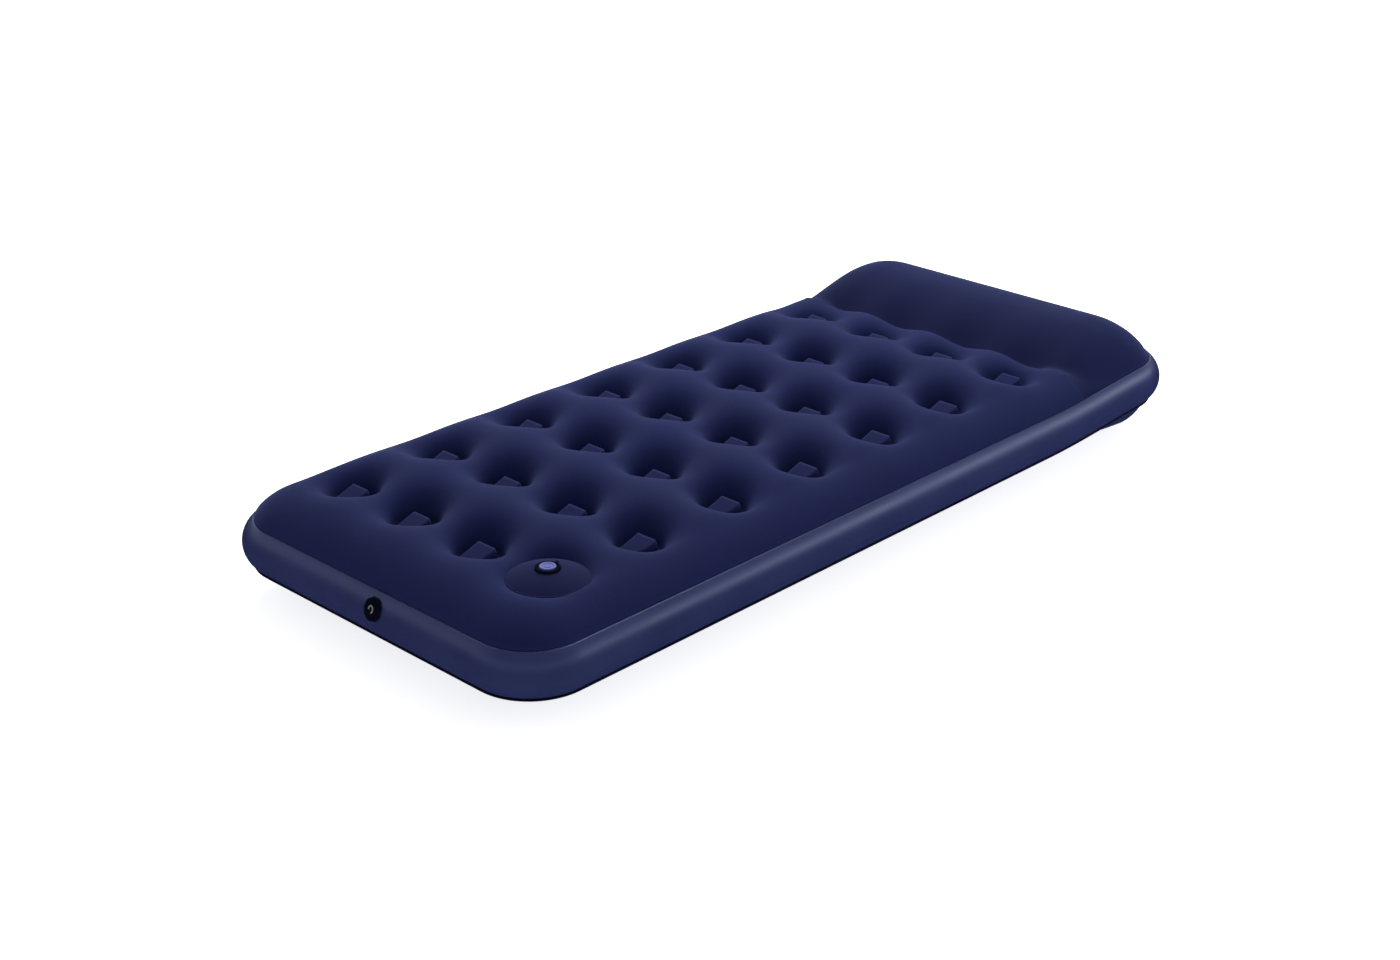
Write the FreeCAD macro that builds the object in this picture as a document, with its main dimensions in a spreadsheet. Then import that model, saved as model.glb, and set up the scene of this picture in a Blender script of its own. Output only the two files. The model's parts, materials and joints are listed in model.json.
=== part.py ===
import FreeCAD, Part
import math
import os
import Sketcher
from FreeCAD import Placement, Rotation, Vector

# Single air mattress with a raised pillow, coil beams inside, a built-in foot
# pump in the sleeping surface and an inflation valve in the foot end.
# Millimetres. +Y runs from the foot to the pillow, +X across the bed, +Z up.
# The origin is on the floor, under the middle of the bed.

SIZES = {
    # the bed, measured along its two weld seams
    "bed_length": 1800,
    "bed_width": 779,
    "corner_radius": 103,
    "sheet": 1,
    "seam_low": 55,
    "seam_high": 140,
    "seam_lip": 8,
    "seam_flange": 6,
    "band_bulge": 23.5,
    "foot_inset": 90,
    # the sleeping surface and the pillow
    "crown_height": 200,
    "crown_round": 58,
    "pillow_height": 248,
    "pillow_depth": 310,
    "pillow_lean": 50,
    "pillow_round": 96,
    # the pits over the coil beams, and the shallow cups under them
    "side_margin": 136,
    "foot_margin": 170,
    "crease_margin": 84,
    "pit_floor": 140,
    "pit_rim_radius": 60,
    "pit_floor_radius": 36,
    "cup_height": 20,
    "cup_rim_radius": 50,
    "coil_radius": 34,
    "coil_vent_radius": 12,
    "beam_margin": 6,
    "beam_setback": 15,
    "beam_vent_radius": 15,
    # the foot pump
    "pump_radius": 70,
    "pump_funnel": 28,
    "pump_depth": 22,
    "pump_ledge": 12,
    "dome_rise": 18,
    "well_radius": 66,
    "well_floor": 60,
    "foam_radius": 57,
    "foam_bore": 20,
    "foam_gap": 2,
    # the intake on top of the pump
    "neck_radius": 16,
    "neck_wall": 1.5,
    "neck_length": 15,
    "ring_sink": 0.6,
    "ring_radius": 21.5,
    "ring_height": 3,
    "seat_height": 1.5,
    "seat_vent_radius": 3,
    "flap_height": 0.8,
    "plug_radius": 12,
    "plug_length": 9,
    "plug_wall": 1.5,
    "tab_width": 8,
    "tab_height": 1.2,
    "loose_gap": 0.3,
    "seat_gap": 0.05,
    # the outlet valve in the side of the pump well
    "outlet_level": 90,
    "outlet_radius": 10,
    "outlet_bore": 8,
    "outlet_reach": 12,
    "outlet_flange": 14,
    # the inflation valve in the foot end
    "valve_side": 37,
    "valve_level": 115,
    "valve_radius": 19.6,
    "valve_patch": 28,
    "valve_proud": 2,
    "valve_depth": 9,
    "collar_radius": 13,
    "collar_clearance": 0.1,
    "socket_wall": 2.6,
    "collar_head_height": 2.5,
    "gasket_height": 1,
    "port_radius": 9.5,
    "cap_radius": 12.5,
    "cap_height": 1.5,
    "mouth_radius": 10.4,
    "mouth_depth": 3.8,
    "stopper_length": 3.5,
}

COLUMNS = 4
ROWS = 7
PUMP_COLUMN = 3
PUMP_ROW = 0
SEAT_VENTS = 5
BEAM_VENTS = 5

BAND_HALF = "((Sizes.seam_high - Sizes.seam_low) / 2)"
BAND_RADIUS = f"({BAND_HALF} ^ 2 + Sizes.band_bulge ^ 2) / (2 * Sizes.band_bulge)"
BAND_MIDDLE = "(Sizes.seam_low + Sizes.seam_high) / 2"
BAND_CENTRE_IN = f"({BAND_RADIUS} - Sizes.band_bulge)"
PILLOW_START = "(Sizes.bed_length / 2 - Sizes.pillow_depth)"
FIRST_ROW = "(Sizes.foot_margin - Sizes.bed_length / 2)"
PITCH_ALONG = f"(({PILLOW_START} - Sizes.crease_margin - {FIRST_ROW}) / {ROWS - 1})"
PITCH_ACROSS = f"((Sizes.bed_width - 2 * Sizes.side_margin) / {COLUMNS - 1})"
PUMP_X = f"{PUMP_COLUMN - (COLUMNS - 1) / 2} * {PITCH_ACROSS}"
PUMP_Y = f"{FIRST_ROW} + {PUMP_ROW} * {PITCH_ALONG}"
RIM_LEVEL = "(Sizes.crown_height - Sizes.pump_depth)"
DOME_BASE = f"({RIM_LEVEL} + Sizes.sheet)"
DOME_TOP = f"({DOME_BASE} + Sizes.dome_rise)"
RING_BASE = f"({DOME_TOP} - Sizes.ring_sink)"
RING_TOP = f"({RING_BASE} + Sizes.ring_height)"
NECK_BASE = f"({RING_BASE} - Sizes.neck_length)"
NECK_BORE = "(Sizes.neck_radius - Sizes.neck_wall)"
VALVE_RISE = f"(Sizes.valve_level - {BAND_MIDDLE})"
VALVE_Y = f"0 - (Sizes.bed_length / 2 - {BAND_CENTRE_IN}) - sqrt(({BAND_RADIUS}) ^ 2 - {VALVE_RISE} ^ 2)"
VALVE_TURN = f"90deg - asin({VALVE_RISE} / ({BAND_RADIUS}))"
COLLAR_HEAD = "(Sizes.valve_radius - Sizes.socket_wall)"
HEAD_SEAT = "(Sizes.valve_proud - Sizes.collar_head_height)"

doc = FreeCAD.newDocument("AirMattress")
sheet = doc.addObject("Spreadsheet::Sheet", "Sizes")
for row, (alias, value) in enumerate(SIZES.items(), 1):
    sheet.set(f"A{row}", str(value))
    sheet.setAlias(f"A{row}", alias)
doc.recompute()

nodes = []


def as_node(piece, name):
    """Mark an object as a sub-part of its own."""
    piece.Label = name
    nodes.append(piece)
    return piece


def bind(piece, **expressions):
    """Tie an object's properties to expressions on the sheet."""
    for name, expression in expressions.items():
        piece.setExpression(name, expression)
    return piece


def place(piece, x="0", y="0", z="0"):
    """Tie an object's position to expressions on the sheet."""
    for axis, expression in (("x", x), ("y", y), ("z", z)):
        piece.setExpression(f".Placement.Base.{axis}", expression)
    return piece


def turn(piece, axis, expression):
    """Turn an object about an axis by an angle that an expression gives."""
    piece.Placement = Placement(Vector(0, 0, 0), Rotation(axis, 90))
    piece.setExpression(".Placement.Rotation.Angle", expression)
    return piece


def cylinder(name, radius, height, x="0", y="0", z="0"):
    piece = bind(doc.addObject("Part::Cylinder", name), Radius=radius, Height=height)
    return place(piece, x, y, z)


def cone(name, low_radius, high_radius, height, x, y, z):
    piece = doc.addObject("Part::Cone", name)
    bind(piece, Radius1=low_radius, Radius2=high_radius, Height=height)
    return place(piece, x, y, z)


def box(name, length, width, height, x, y, z):
    """A box whose x and y give the middle of its base."""
    piece = bind(doc.addObject("Part::Box", name), Length=length, Width=width, Height=height)
    return place(piece, f"{x} - ({length}) / 2", f"{y} - ({width}) / 2", z)


def cut(name, base, tool):
    piece = doc.addObject("Part::Cut", name)
    piece.Base = base
    piece.Tool = tool
    return piece


def fuse(name, pieces):
    piece = doc.addObject("Part::MultiFuse", name)
    piece.Shapes = pieces
    return piece


def common(name, pieces):
    piece = doc.addObject("Part::MultiCommon", name)
    piece.Shapes = pieces
    return piece


def plane_of(body, role):
    return [item for item in body.Origin.OriginFeatures if item.Role == role][0]


def new_sketch(body, name, role, level=None):
    """A sketch on one of its body's origin planes, raised by an expression."""
    sketch = body.newObject("Sketcher::SketchObject", name)
    sketch.AttachmentSupport = [(plane_of(body, role), "")]
    sketch.MapMode = "FlatFace"
    if level:
        sketch.setExpression(".AttachmentOffset.Base.z", level)
    return sketch


def hold_point(sketch, item, end, x, y):
    """Hold one end of a sketch element at a place given by expressions."""
    start = sketch.getPoint(item, end)
    for kind, value, expression in (("DistanceX", start.x, x), ("DistanceY", start.y, y)):
        index = sketch.addConstraint(Sketcher.Constraint(kind, -1, 1, item, end, value))
        sketch.setExpression(f"Constraints[{index}]", expression)


def polygon(sketch, points):
    """A closed loop of straight lines through points given by expressions."""
    count = len(points)
    angles = [2 * math.pi * i / count for i in range(count)]
    start = [Vector(2 + math.cos(angle), 2 + math.sin(angle), 0) for angle in angles]
    for i in range(count):
        sketch.addGeometry(Part.LineSegment(start[i], start[(i + 1) % count]))
    for i in range(count):
        sketch.addConstraint(Sketcher.Constraint("Coincident", i, 2, (i + 1) % count, 1))
    for i, (x, y) in enumerate(points):
        hold_point(sketch, i, 1, x, y)


def turned(name, points):
    """A body turned about its own Z axis, from a profile of radii and heights."""
    body = doc.addObject("PartDesign::Body", name)
    profile = new_sketch(body, f"{name}_profile", "XZ_Plane")
    polygon(profile, points)
    revolution = body.newObject("PartDesign::Revolution", f"{name}_turned")
    revolution.Profile = profile
    revolution.ReferenceAxis = (profile, ["V_Axis"])
    revolution.Angle = 360
    return body


def outline(body, name, inset, level):
    """The bed's rounded rectangle, moved in by one expression and raised by another."""
    sketch = new_sketch(body, name, "XY_Plane", level)
    across = SIZES["bed_width"] / 2
    along = SIZES["bed_length"] / 2
    radius = SIZES["corner_radius"]
    corners = [(1, 1), (-1, 1), (-1, -1), (1, -1)]
    for i, (right, up) in enumerate(corners):
        centre = Vector(right * (across - radius), up * (along - radius), 0)
        circle = Part.Circle(centre, Vector(0, 0, 1), radius)
        arc = Part.ArcOfCircle(circle, math.radians(90 * i), math.radians(90 * (i + 1)))
        sketch.addGeometry(arc)
    for i in range(4):
        end = sketch.Geometry[i].EndPoint
        start = sketch.Geometry[(i + 1) % 4].StartPoint
        sketch.addGeometry(Part.LineSegment(end, start))
    for i in range(4):
        line = 4 + i
        sketch.addConstraint(Sketcher.Constraint("Tangent", i, 2, line, 1))
        sketch.addConstraint(Sketcher.Constraint("Tangent", line, 2, (i + 1) % 4, 1))
        sketch.addConstraint(Sketcher.Constraint("Vertical" if i % 2 else "Horizontal", line))
        if i:
            sketch.addConstraint(Sketcher.Constraint("Equal", 0, i))
    rounding = sketch.addConstraint(Sketcher.Constraint("Radius", 0, float(radius)))
    sketch.setExpression(f"Constraints[{rounding}]", f"Sizes.corner_radius - ({inset})")
    sides = [("DistanceY", 4, 1, "bed_length", along), ("DistanceX", 5, -1, "bed_width", -across),
             ("DistanceY", 6, -1, "bed_length", -along), ("DistanceX", 7, 1, "bed_width", across)]
    for kind, line, sign, size, value in sides:
        index = sketch.addConstraint(Sketcher.Constraint(kind, -1, 1, line, 1, float(value)))
        sketch.setExpression(f"Constraints[{index}]", f"{sign} * (Sizes.{size} / 2 - ({inset}))")
    return sketch


def padded_outline(name, inset, level, height):
    """The bed's outline as a plate."""
    body = doc.addObject("PartDesign::Body", name)
    profile = outline(body, f"{name}_outline", inset, level)
    pad = body.newObject("PartDesign::Pad", f"{name}_pad")
    pad.Profile = profile
    pad.setExpression("Length", height)
    return body


def outline_ring(name, outer_inset, inner_inset, level):
    """A flat weld lip that follows the bed's outline, one sheet thick."""
    outer = padded_outline(f"{name}_outer", outer_inset, level, "Sizes.sheet")
    inner = padded_outline(f"{name}_inner", inner_inset, level, "Sizes.sheet")
    return cut(name, outer, inner)


def round_top(body, radius):
    """Round the whole top edge of a body by an expression."""
    doc.recompute()
    base = body.Tip
    top = base.Shape.BoundBox.ZMax
    names = [f"Edge{i}" for i, edge in enumerate(base.Shape.Edges, 1) if edge.BoundBox.ZMin > top - 0.01]
    rounding = body.newObject("PartDesign::Fillet", f"{body.Name}_rounding")
    rounding.Base = (base, names)
    rounding.setExpression("Radius", radius)


def grid_places():
    """Name and place of every coil beam; the pump takes one place of the grid."""
    for row in range(ROWS):
        for column in range(COLUMNS):
            if (row, column) != (PUMP_ROW, PUMP_COLUMN):
                x = f"{column - (COLUMNS - 1) / 2} * {PITCH_ACROSS}"
                y = f"{FIRST_ROW} + {row} * {PITCH_ALONG}"
                yield f"row_{row + 1}_column_{column + 1}", x, y


def upper_solid(name, skin):
    """The bed above its upper seam as a solid, drawn in by one skin thickness."""
    height = f"Sizes.crown_height - Sizes.seam_high - {skin}"
    crown = padded_outline(f"{name}_crown", skin, "Sizes.seam_high", height)
    round_top(crown, f"Sizes.crown_round - {skin}")
    pillow = padded_outline(f"{name}_pillow", skin, "Sizes.seam_high",
                            f"Sizes.pillow_height - Sizes.seam_high - {skin}")
    round_top(pillow, f"Sizes.pillow_round - {skin}")
    front = new_sketch(pillow, f"{name}_front", "YZ_Plane")
    far_end = "0 - Sizes.bed_length"
    polygon(front, [
        (far_end, "Sizes.seam_high / 2"),
        (f"{PILLOW_START} + {skin}", "Sizes.seam_high / 2"),
        (f"{PILLOW_START} + {skin}", "Sizes.crown_height - Sizes.crown_round / 2"),
        (f"{PILLOW_START} + Sizes.pillow_lean + {skin}", "Sizes.pillow_height"),
        (f"{PILLOW_START} + Sizes.pillow_lean + {skin}", "2 * Sizes.pillow_height"),
        (far_end, "2 * Sizes.pillow_height"),
    ])
    before = pillow.Shape.Volume
    pocket = pillow.newObject("PartDesign::Pocket", f"{name}_front_cut")
    pocket.Profile = front
    pocket.Midplane = True
    pocket.setExpression("Length", "2 * Sizes.bed_width")
    pillow.Tip = pocket
    doc.recompute()
    if pillow.Shape.Volume > before / 2:
        raise RuntimeError("the pillow was not cut off from the sleeping surface")
    return fuse(name, [crown, pillow])


def upper_hollows(name, skin):
    """The pits and the pump's funnel, grown by one skin thickness."""
    height = "Sizes.crown_height - Sizes.pit_floor"
    hollows = [
        cone(f"{name}_{place_name}", f"Sizes.pit_floor_radius + {skin}", f"Sizes.pit_rim_radius + {skin}",
             height, x, y, f"Sizes.pit_floor - {skin}")
        for place_name, x, y in grid_places()
    ]
    hollows.append(cone(f"{name}_pump", f"Sizes.pump_radius + {skin}",
                        f"Sizes.pump_radius + Sizes.pump_funnel + {skin}",
                        "Sizes.pump_depth", PUMP_X, PUMP_Y, f"{RIM_LEVEL} - {skin}"))
    return fuse(name, hollows)


def make_top_sheet():
    """The flocked sheet: crown, pillow, pits and the ledge that carries the pump."""
    outer = cut("top_outside", upper_solid("top_outer", "0"), upper_hollows("pits", "0"))
    walls = upper_hollows("pit_walls", "Sizes.sheet")
    inner = cut("top_inside", upper_solid("top_inner", "Sizes.sheet"), walls)
    skin = cut("top_skin", outer, inner)
    lip = outline_ring("top_lip", "0", "Sizes.seam_lip", "Sizes.seam_high")
    opening = cylinder("pump_opening", "Sizes.pump_radius - Sizes.pump_ledge", "Sizes.crown_height",
                       PUMP_X, PUMP_Y, "0")
    as_node(cut("top_sheet_cut", fuse("top_with_lip", [skin, lip]), opening), "top_sheet")


def make_side_band():
    """The smooth band that bulges between the seams, with a hole for the valve."""
    body = doc.addObject("PartDesign::Body", "band")
    path = outline(body, "band_path", "0", "Sizes.seam_low")
    profile = new_sketch(body, "band_profile", "XZ_Plane")
    half = (SIZES["seam_high"] - SIZES["seam_low"]) / 2
    radius = (half ** 2 + SIZES["band_bulge"] ** 2) / (2 * SIZES["band_bulge"])
    centre = Vector(SIZES["bed_width"] / 2 + SIZES["band_bulge"] - radius, SIZES["seam_low"] + half, 0)
    for size, reach in ((radius, half), (radius - SIZES["sheet"], half - SIZES["sheet"])):
        swing = math.asin(reach / size)
        profile.addGeometry(Part.ArcOfCircle(Part.Circle(centre, Vector(0, 0, 1), size), -swing, swing))
    outer, inner = profile.Geometry
    lip_x = SIZES["bed_width"] / 2 - SIZES["seam_lip"]
    low = Vector(lip_x, SIZES["seam_low"], 0)
    low_in = Vector(lip_x, SIZES["seam_low"] + SIZES["sheet"], 0)
    high_in = Vector(lip_x, SIZES["seam_high"] - SIZES["sheet"], 0)
    high = Vector(lip_x, SIZES["seam_high"], 0)
    lines = [(outer.EndPoint, high), (high, high_in), (high_in, inner.EndPoint),
             (outer.StartPoint, low), (low, low_in), (low_in, inner.StartPoint)]
    for start, end in lines:
        profile.addGeometry(Part.LineSegment(start, end))
    joins = [(0, 2, 2, 1), (2, 2, 3, 1), (3, 2, 4, 1), (4, 2, 1, 2),
             (0, 1, 5, 1), (5, 2, 6, 1), (6, 2, 7, 1), (7, 2, 1, 1), (0, 3, 1, 3)]
    for join in joins:
        profile.addConstraint(Sketcher.Constraint("Coincident", *join))
    for line in (4, 7):
        profile.addConstraint(Sketcher.Constraint("Horizontal", line))
    edge = "Sizes.bed_width / 2"
    lip = "Sizes.bed_width / 2 - Sizes.seam_lip"
    hold_point(profile, 0, 1, edge, "Sizes.seam_low")
    hold_point(profile, 0, 2, edge, "Sizes.seam_high")
    hold_point(profile, 3, 1, lip, "Sizes.seam_high")
    hold_point(profile, 3, 2, lip, "Sizes.seam_high - Sizes.sheet")
    hold_point(profile, 6, 1, lip, "Sizes.seam_low")
    hold_point(profile, 6, 2, lip, "Sizes.seam_low + Sizes.sheet")
    for item, expression in ((0, BAND_RADIUS), (1, f"{BAND_RADIUS} - Sizes.sheet")):
        index = profile.addConstraint(Sketcher.Constraint("Radius", item, radius - item))
        profile.setExpression(f"Constraints[{index}]", expression)
    sweep = body.newObject("PartDesign::AdditivePipe", "band_sweep")
    sweep.Profile = profile
    sweep.Spine = (path, [])
    hole = cylinder("band_hole", "Sizes.valve_radius + Sizes.seat_gap", "4 * Sizes.valve_depth")
    as_node(cut("side_band_cut", body, at_valve(hole, "0 - 2 * Sizes.valve_depth")), "side_band")


def lower_solid(name, rise):
    """The bed below its lower seam as a solid: it draws in towards the floor."""
    body = doc.addObject("PartDesign::Body", name)
    low = outline(body, f"{name}_low", "Sizes.foot_inset", rise)
    high = outline(body, f"{name}_high", "0", f"Sizes.seam_low + {rise}")
    loft = body.newObject("PartDesign::AdditiveLoft", f"{name}_loft")
    loft.Profile = low
    loft.Sections = [high]
    loft.Ruled = True
    return body


def make_bottom_sheet():
    """The sheet on the floor, with a shallow cup under each coil beam."""
    cups = fuse("cups", [
        cone(f"cup_{place_name}", "Sizes.cup_rim_radius", "Sizes.pit_floor_radius", "Sizes.cup_height",
             x, y, "0")
        for place_name, x, y in grid_places()
    ])
    walls = fuse("cup_walls", [
        cone(f"cup_wall_{place_name}", "Sizes.cup_rim_radius + Sizes.sheet",
             "Sizes.pit_floor_radius + Sizes.sheet", "Sizes.cup_height", x, y, "Sizes.sheet")
        for place_name, x, y in grid_places()
    ])
    outer = cut("bottom_outside", lower_solid("bottom_outer", "0"), cups)
    inner = cut("bottom_inside", lower_solid("bottom_inner", "Sizes.sheet"), walls)
    skin = cut("bottom_skin", outer, inner)
    flange = outline_ring("bottom_flange", "0 - Sizes.seam_flange", "Sizes.seam_lip",
                          "Sizes.seam_low - Sizes.sheet")
    as_node(fuse("bottom_sheet_fuse", [skin, flange]), "bottom_sheet")


def make_coil_beam(place_name, x, y):
    """A thin upright tube that ties a pit to the cup below it, with an air vent."""
    low = "Sizes.cup_height + Sizes.sheet"
    height = "Sizes.pit_floor - Sizes.cup_height - 2 * Sizes.sheet"
    outer = cylinder(f"coil_outer_{place_name}", "Sizes.coil_radius", height, x, y, low)
    inner = cylinder(f"coil_inner_{place_name}", "Sizes.coil_radius - Sizes.sheet", height, x, y, low)
    vent = turn(cylinder(f"coil_vent_{place_name}", "Sizes.coil_vent_radius", "3 * Sizes.coil_radius"),
                Vector(0, 1, 0), "90deg")
    place(vent, f"{x} - 1.5 * Sizes.coil_radius", y, "(Sizes.pit_floor + Sizes.cup_height) / 2")
    tube = cut(f"coil_tube_{place_name}", outer, inner)
    as_node(cut(f"coil_{place_name}", tube, vent), f"coil_beam_{place_name}")


def make_pillow_beam():
    """The upright strip under the pillow's crease, with air vents."""
    width = "Sizes.bed_width - 2 * (Sizes.foot_inset + Sizes.beam_margin)"
    strip = box("beam_strip", width, "Sizes.sheet", "Sizes.crown_height - 2 * Sizes.sheet",
                "0", f"{PILLOW_START} - Sizes.beam_setback", "Sizes.sheet")
    vents = []
    for i in range(BEAM_VENTS):
        vent = turn(cylinder(f"beam_vent_{i + 1}", "Sizes.beam_vent_radius", "4 * Sizes.beam_vent_radius"),
                    Vector(1, 0, 0), "90deg")
        share = (i + 1) / (BEAM_VENTS + 1) - 0.5
        vents.append(place(vent, f"{share} * ({width})",
                           f"{PILLOW_START} - Sizes.beam_setback + 2 * Sizes.beam_vent_radius",
                           "Sizes.crown_height / 2"))
    as_node(cut("beam_cut", strip, fuse("beam_vents", vents)), "pillow_beam")


def at_pump(piece, height="0"):
    return place(piece, PUMP_X, PUMP_Y, height)


def pump_cylinder(name, radius, height, level, across="0", along="0"):
    return cylinder(name, radius, height, f"{PUMP_X} + {across}", f"{PUMP_Y} + {along}", level)


def make_pump_well():
    """The cup under the sleeping surface that holds the foam."""
    flange = "Sizes.pump_radius + Sizes.sheet"
    inside = "Sizes.well_radius - Sizes.sheet"
    top = f"{RIM_LEVEL} - Sizes.sheet"
    well = at_pump(turned("well_cup", [
        ("0", "Sizes.well_floor"),
        ("Sizes.well_radius", "Sizes.well_floor"),
        ("Sizes.well_radius", f"{top} - Sizes.sheet"),
        (flange, f"{top} - Sizes.sheet"),
        (flange, top),
        (inside, top),
        (inside, "Sizes.well_floor + Sizes.sheet"),
        ("0", "Sizes.well_floor + Sizes.sheet"),
    ]))
    hole = turn(cylinder("well_hole", "Sizes.outlet_radius + Sizes.seat_gap", "Sizes.well_radius"),
                Vector(0, -1, 0), "90deg")
    place(hole, f"{PUMP_X} - Sizes.well_radius / 2", PUMP_Y, "Sizes.outlet_level")
    as_node(cut("pump_well_cut", well, hole), "pump_well")


def make_pump_dome():
    """The sprung dome that the foot presses, welded to the ledge by its rim."""
    span = "(Sizes.pump_radius - 2 * Sizes.sheet)"
    radius = f"({span} ^ 2 + Sizes.dome_rise ^ 2) / (2 * Sizes.dome_rise)"
    shells = []
    for name, skin in (("dome_outer", "0"), ("dome_inner", "Sizes.sheet")):
        ball = bind(doc.addObject("Part::Sphere", name), Radius=f"{radius} - {skin}")
        shells.append(at_pump(ball, f"{DOME_TOP} - {radius}"))
    limit = pump_cylinder("dome_limit", span, "2 * Sizes.dome_rise", DOME_BASE)
    shell = common("dome_shell", [cut("dome_skin", *shells), limit])
    rim = cut("dome_rim",
              pump_cylinder("dome_rim_outer", "Sizes.pump_radius - Sizes.seat_gap", "Sizes.sheet", RIM_LEVEL),
              pump_cylinder("dome_rim_inner", "Sizes.pump_radius - Sizes.pump_ledge", "Sizes.sheet", RIM_LEVEL))
    hole = pump_cylinder("dome_hole", "Sizes.neck_radius + Sizes.loose_gap", "2 * Sizes.crown_height", "0")
    as_node(cut("dome_cut", fuse("dome_with_rim", [shell, rim]), hole), "pump_dome")


def make_pump_foam():
    """The block of open foam that pushes the dome up again."""
    foot = "Sizes.well_floor + Sizes.sheet"
    foam = turned("foam_block", [
        ("Sizes.foam_bore", foot),
        ("Sizes.foam_radius", foot),
        ("Sizes.foam_radius", f"{RIM_LEVEL} - Sizes.foam_gap"),
        ("Sizes.foam_bore", f"{RIM_LEVEL} - Sizes.foam_gap"),
    ])
    as_node(at_pump(foam), "pump_foam")


def make_intake_ring():
    """The stiff ring on top of the dome, with its neck down through the dome."""
    lip = f"{NECK_BORE} - Sizes.neck_wall"
    ring = turned("ring_and_neck", [
        (lip, NECK_BASE),
        ("Sizes.neck_radius", NECK_BASE),
        ("Sizes.neck_radius", RING_BASE),
        ("Sizes.ring_radius", RING_BASE),
        ("Sizes.ring_radius", f"{RING_BASE} + Sizes.ring_height / 2"),
        ("Sizes.ring_radius - Sizes.ring_height / 2", RING_TOP),
        (NECK_BORE, RING_TOP),
        (NECK_BORE, f"{NECK_BASE} + Sizes.sheet"),
        (lip, f"{NECK_BASE} + Sizes.sheet"),
    ])
    as_node(at_pump(ring), "intake_ring")


def make_intake_seat():
    """The perforated plate in the neck that the intake flap closes against."""
    level = f"{NECK_BASE} + Sizes.sheet"
    plate = pump_cylinder("seat_plate", f"{NECK_BORE} - Sizes.seat_gap", "Sizes.seat_height", level)
    vents = []
    for i in range(SEAT_VENTS):
        angle = 2 * math.pi * i / SEAT_VENTS
        reach = f"({NECK_BORE} - Sizes.neck_wall) / 2"
        vents.append(pump_cylinder(f"seat_vent_{i + 1}", "Sizes.seat_vent_radius", "3 * Sizes.seat_height",
                                   f"{level} - Sizes.seat_height", f"{round(math.cos(angle), 6)} * {reach}",
                                   f"{round(math.sin(angle), 6)} * {reach}"))
    as_node(cut("seat_cut", plate, fuse("seat_vents", vents)), "intake_seat")


def make_intake_flap():
    """The disc below the seat: it drops to let air in and closes on the stroke."""
    flap = pump_cylinder("flap_disc", f"{NECK_BORE} - Sizes.neck_wall - Sizes.loose_gap", "Sizes.flap_height",
                         f"{NECK_BASE} + Sizes.sheet - Sizes.loose_gap - Sizes.flap_height")
    as_node(flap, "intake_flap")


def make_intake_cap():
    """The push-in cap of the intake, a hollow plug held by a strap at its head side."""
    disc = f"{NECK_BORE} - Sizes.loose_gap"
    under = f"{RING_TOP} - Sizes.cap_height"
    foot = f"{under} - Sizes.plug_length"
    plug = at_pump(turned("cap_plug", [
        ("Sizes.plug_radius - Sizes.plug_wall", foot),
        ("Sizes.plug_radius", foot),
        ("Sizes.plug_radius", under),
        (disc, under),
        (disc, f"{RING_TOP} + Sizes.loose_gap + Sizes.tab_height"),
        ("0", f"{RING_TOP} + Sizes.loose_gap + Sizes.tab_height"),
        ("0", under),
        ("Sizes.plug_radius - Sizes.plug_wall", under),
    ]))
    reach = f"(Sizes.ring_radius + Sizes.cap_height - {NECK_BORE} / 2)"
    tab = box("cap_tab", "Sizes.tab_width", reach, "Sizes.tab_height", PUMP_X,
              f"{PUMP_Y} + {NECK_BORE} / 2 + {reach} / 2", f"{RING_TOP} + Sizes.loose_gap")
    as_node(fuse("cap_fuse", [plug, tab]), "intake_cap")


def make_outlet_valve():
    """The short tube out of the well into the bed, and the flap on its end."""
    inner_end = "sqrt((Sizes.well_radius - Sizes.sheet) ^ 2 - Sizes.outlet_flange ^ 2) - Sizes.loose_gap"
    outer_end = "Sizes.well_radius + Sizes.outlet_reach"
    body = turned("outlet_tube", [
        ("Sizes.outlet_bore", inner_end),
        ("Sizes.outlet_flange", inner_end),
        ("Sizes.outlet_flange", f"{inner_end} - Sizes.seat_height"),
        ("Sizes.outlet_bore", f"{inner_end} - Sizes.seat_height"),
    ])
    tube = turned("outlet_neck", [
        ("Sizes.outlet_bore", f"{inner_end} - Sizes.seat_height"),
        ("Sizes.outlet_radius", f"{inner_end} - Sizes.seat_height"),
        ("Sizes.outlet_radius", outer_end),
        ("Sizes.outlet_bore", outer_end),
    ])
    for piece in (body, tube):
        turn(piece, Vector(0, -1, 0), "90deg")
        at_pump(piece, "Sizes.outlet_level")
    as_node(fuse("outlet_fuse", [body, tube]), "outlet_valve_body")
    flap = turn(cylinder("outlet_disc", "Sizes.outlet_radius", "Sizes.flap_height"), Vector(0, -1, 0), "90deg")
    place(flap, f"{PUMP_X} - ({outer_end}) - Sizes.loose_gap", PUMP_Y, "Sizes.outlet_level")
    as_node(flap, "outlet_flap")


def at_valve(piece, out="0"):
    """Stand a piece on the valve's axis, which leaves the band square to it."""
    turn(piece, Vector(1, 0, 0), VALVE_TURN)
    turned_by = f"({VALVE_TURN})"
    return place(piece, "Sizes.valve_side", f"{VALVE_Y} - ({out}) * sin{turned_by}",
                 f"Sizes.valve_level + ({out}) * cos{turned_by}")


def band_cylinder(name, skin):
    """The inside of the band at the foot end, as a round bar across the bed."""
    bar = turn(cylinder(name, f"{BAND_RADIUS} - {skin}", "4 * Sizes.valve_patch"), Vector(0, 1, 0), "90deg")
    return place(bar, "Sizes.valve_side - 2 * Sizes.valve_patch",
                 f"0 - Sizes.bed_length / 2 + {BAND_CENTRE_IN}", BAND_MIDDLE)


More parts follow.
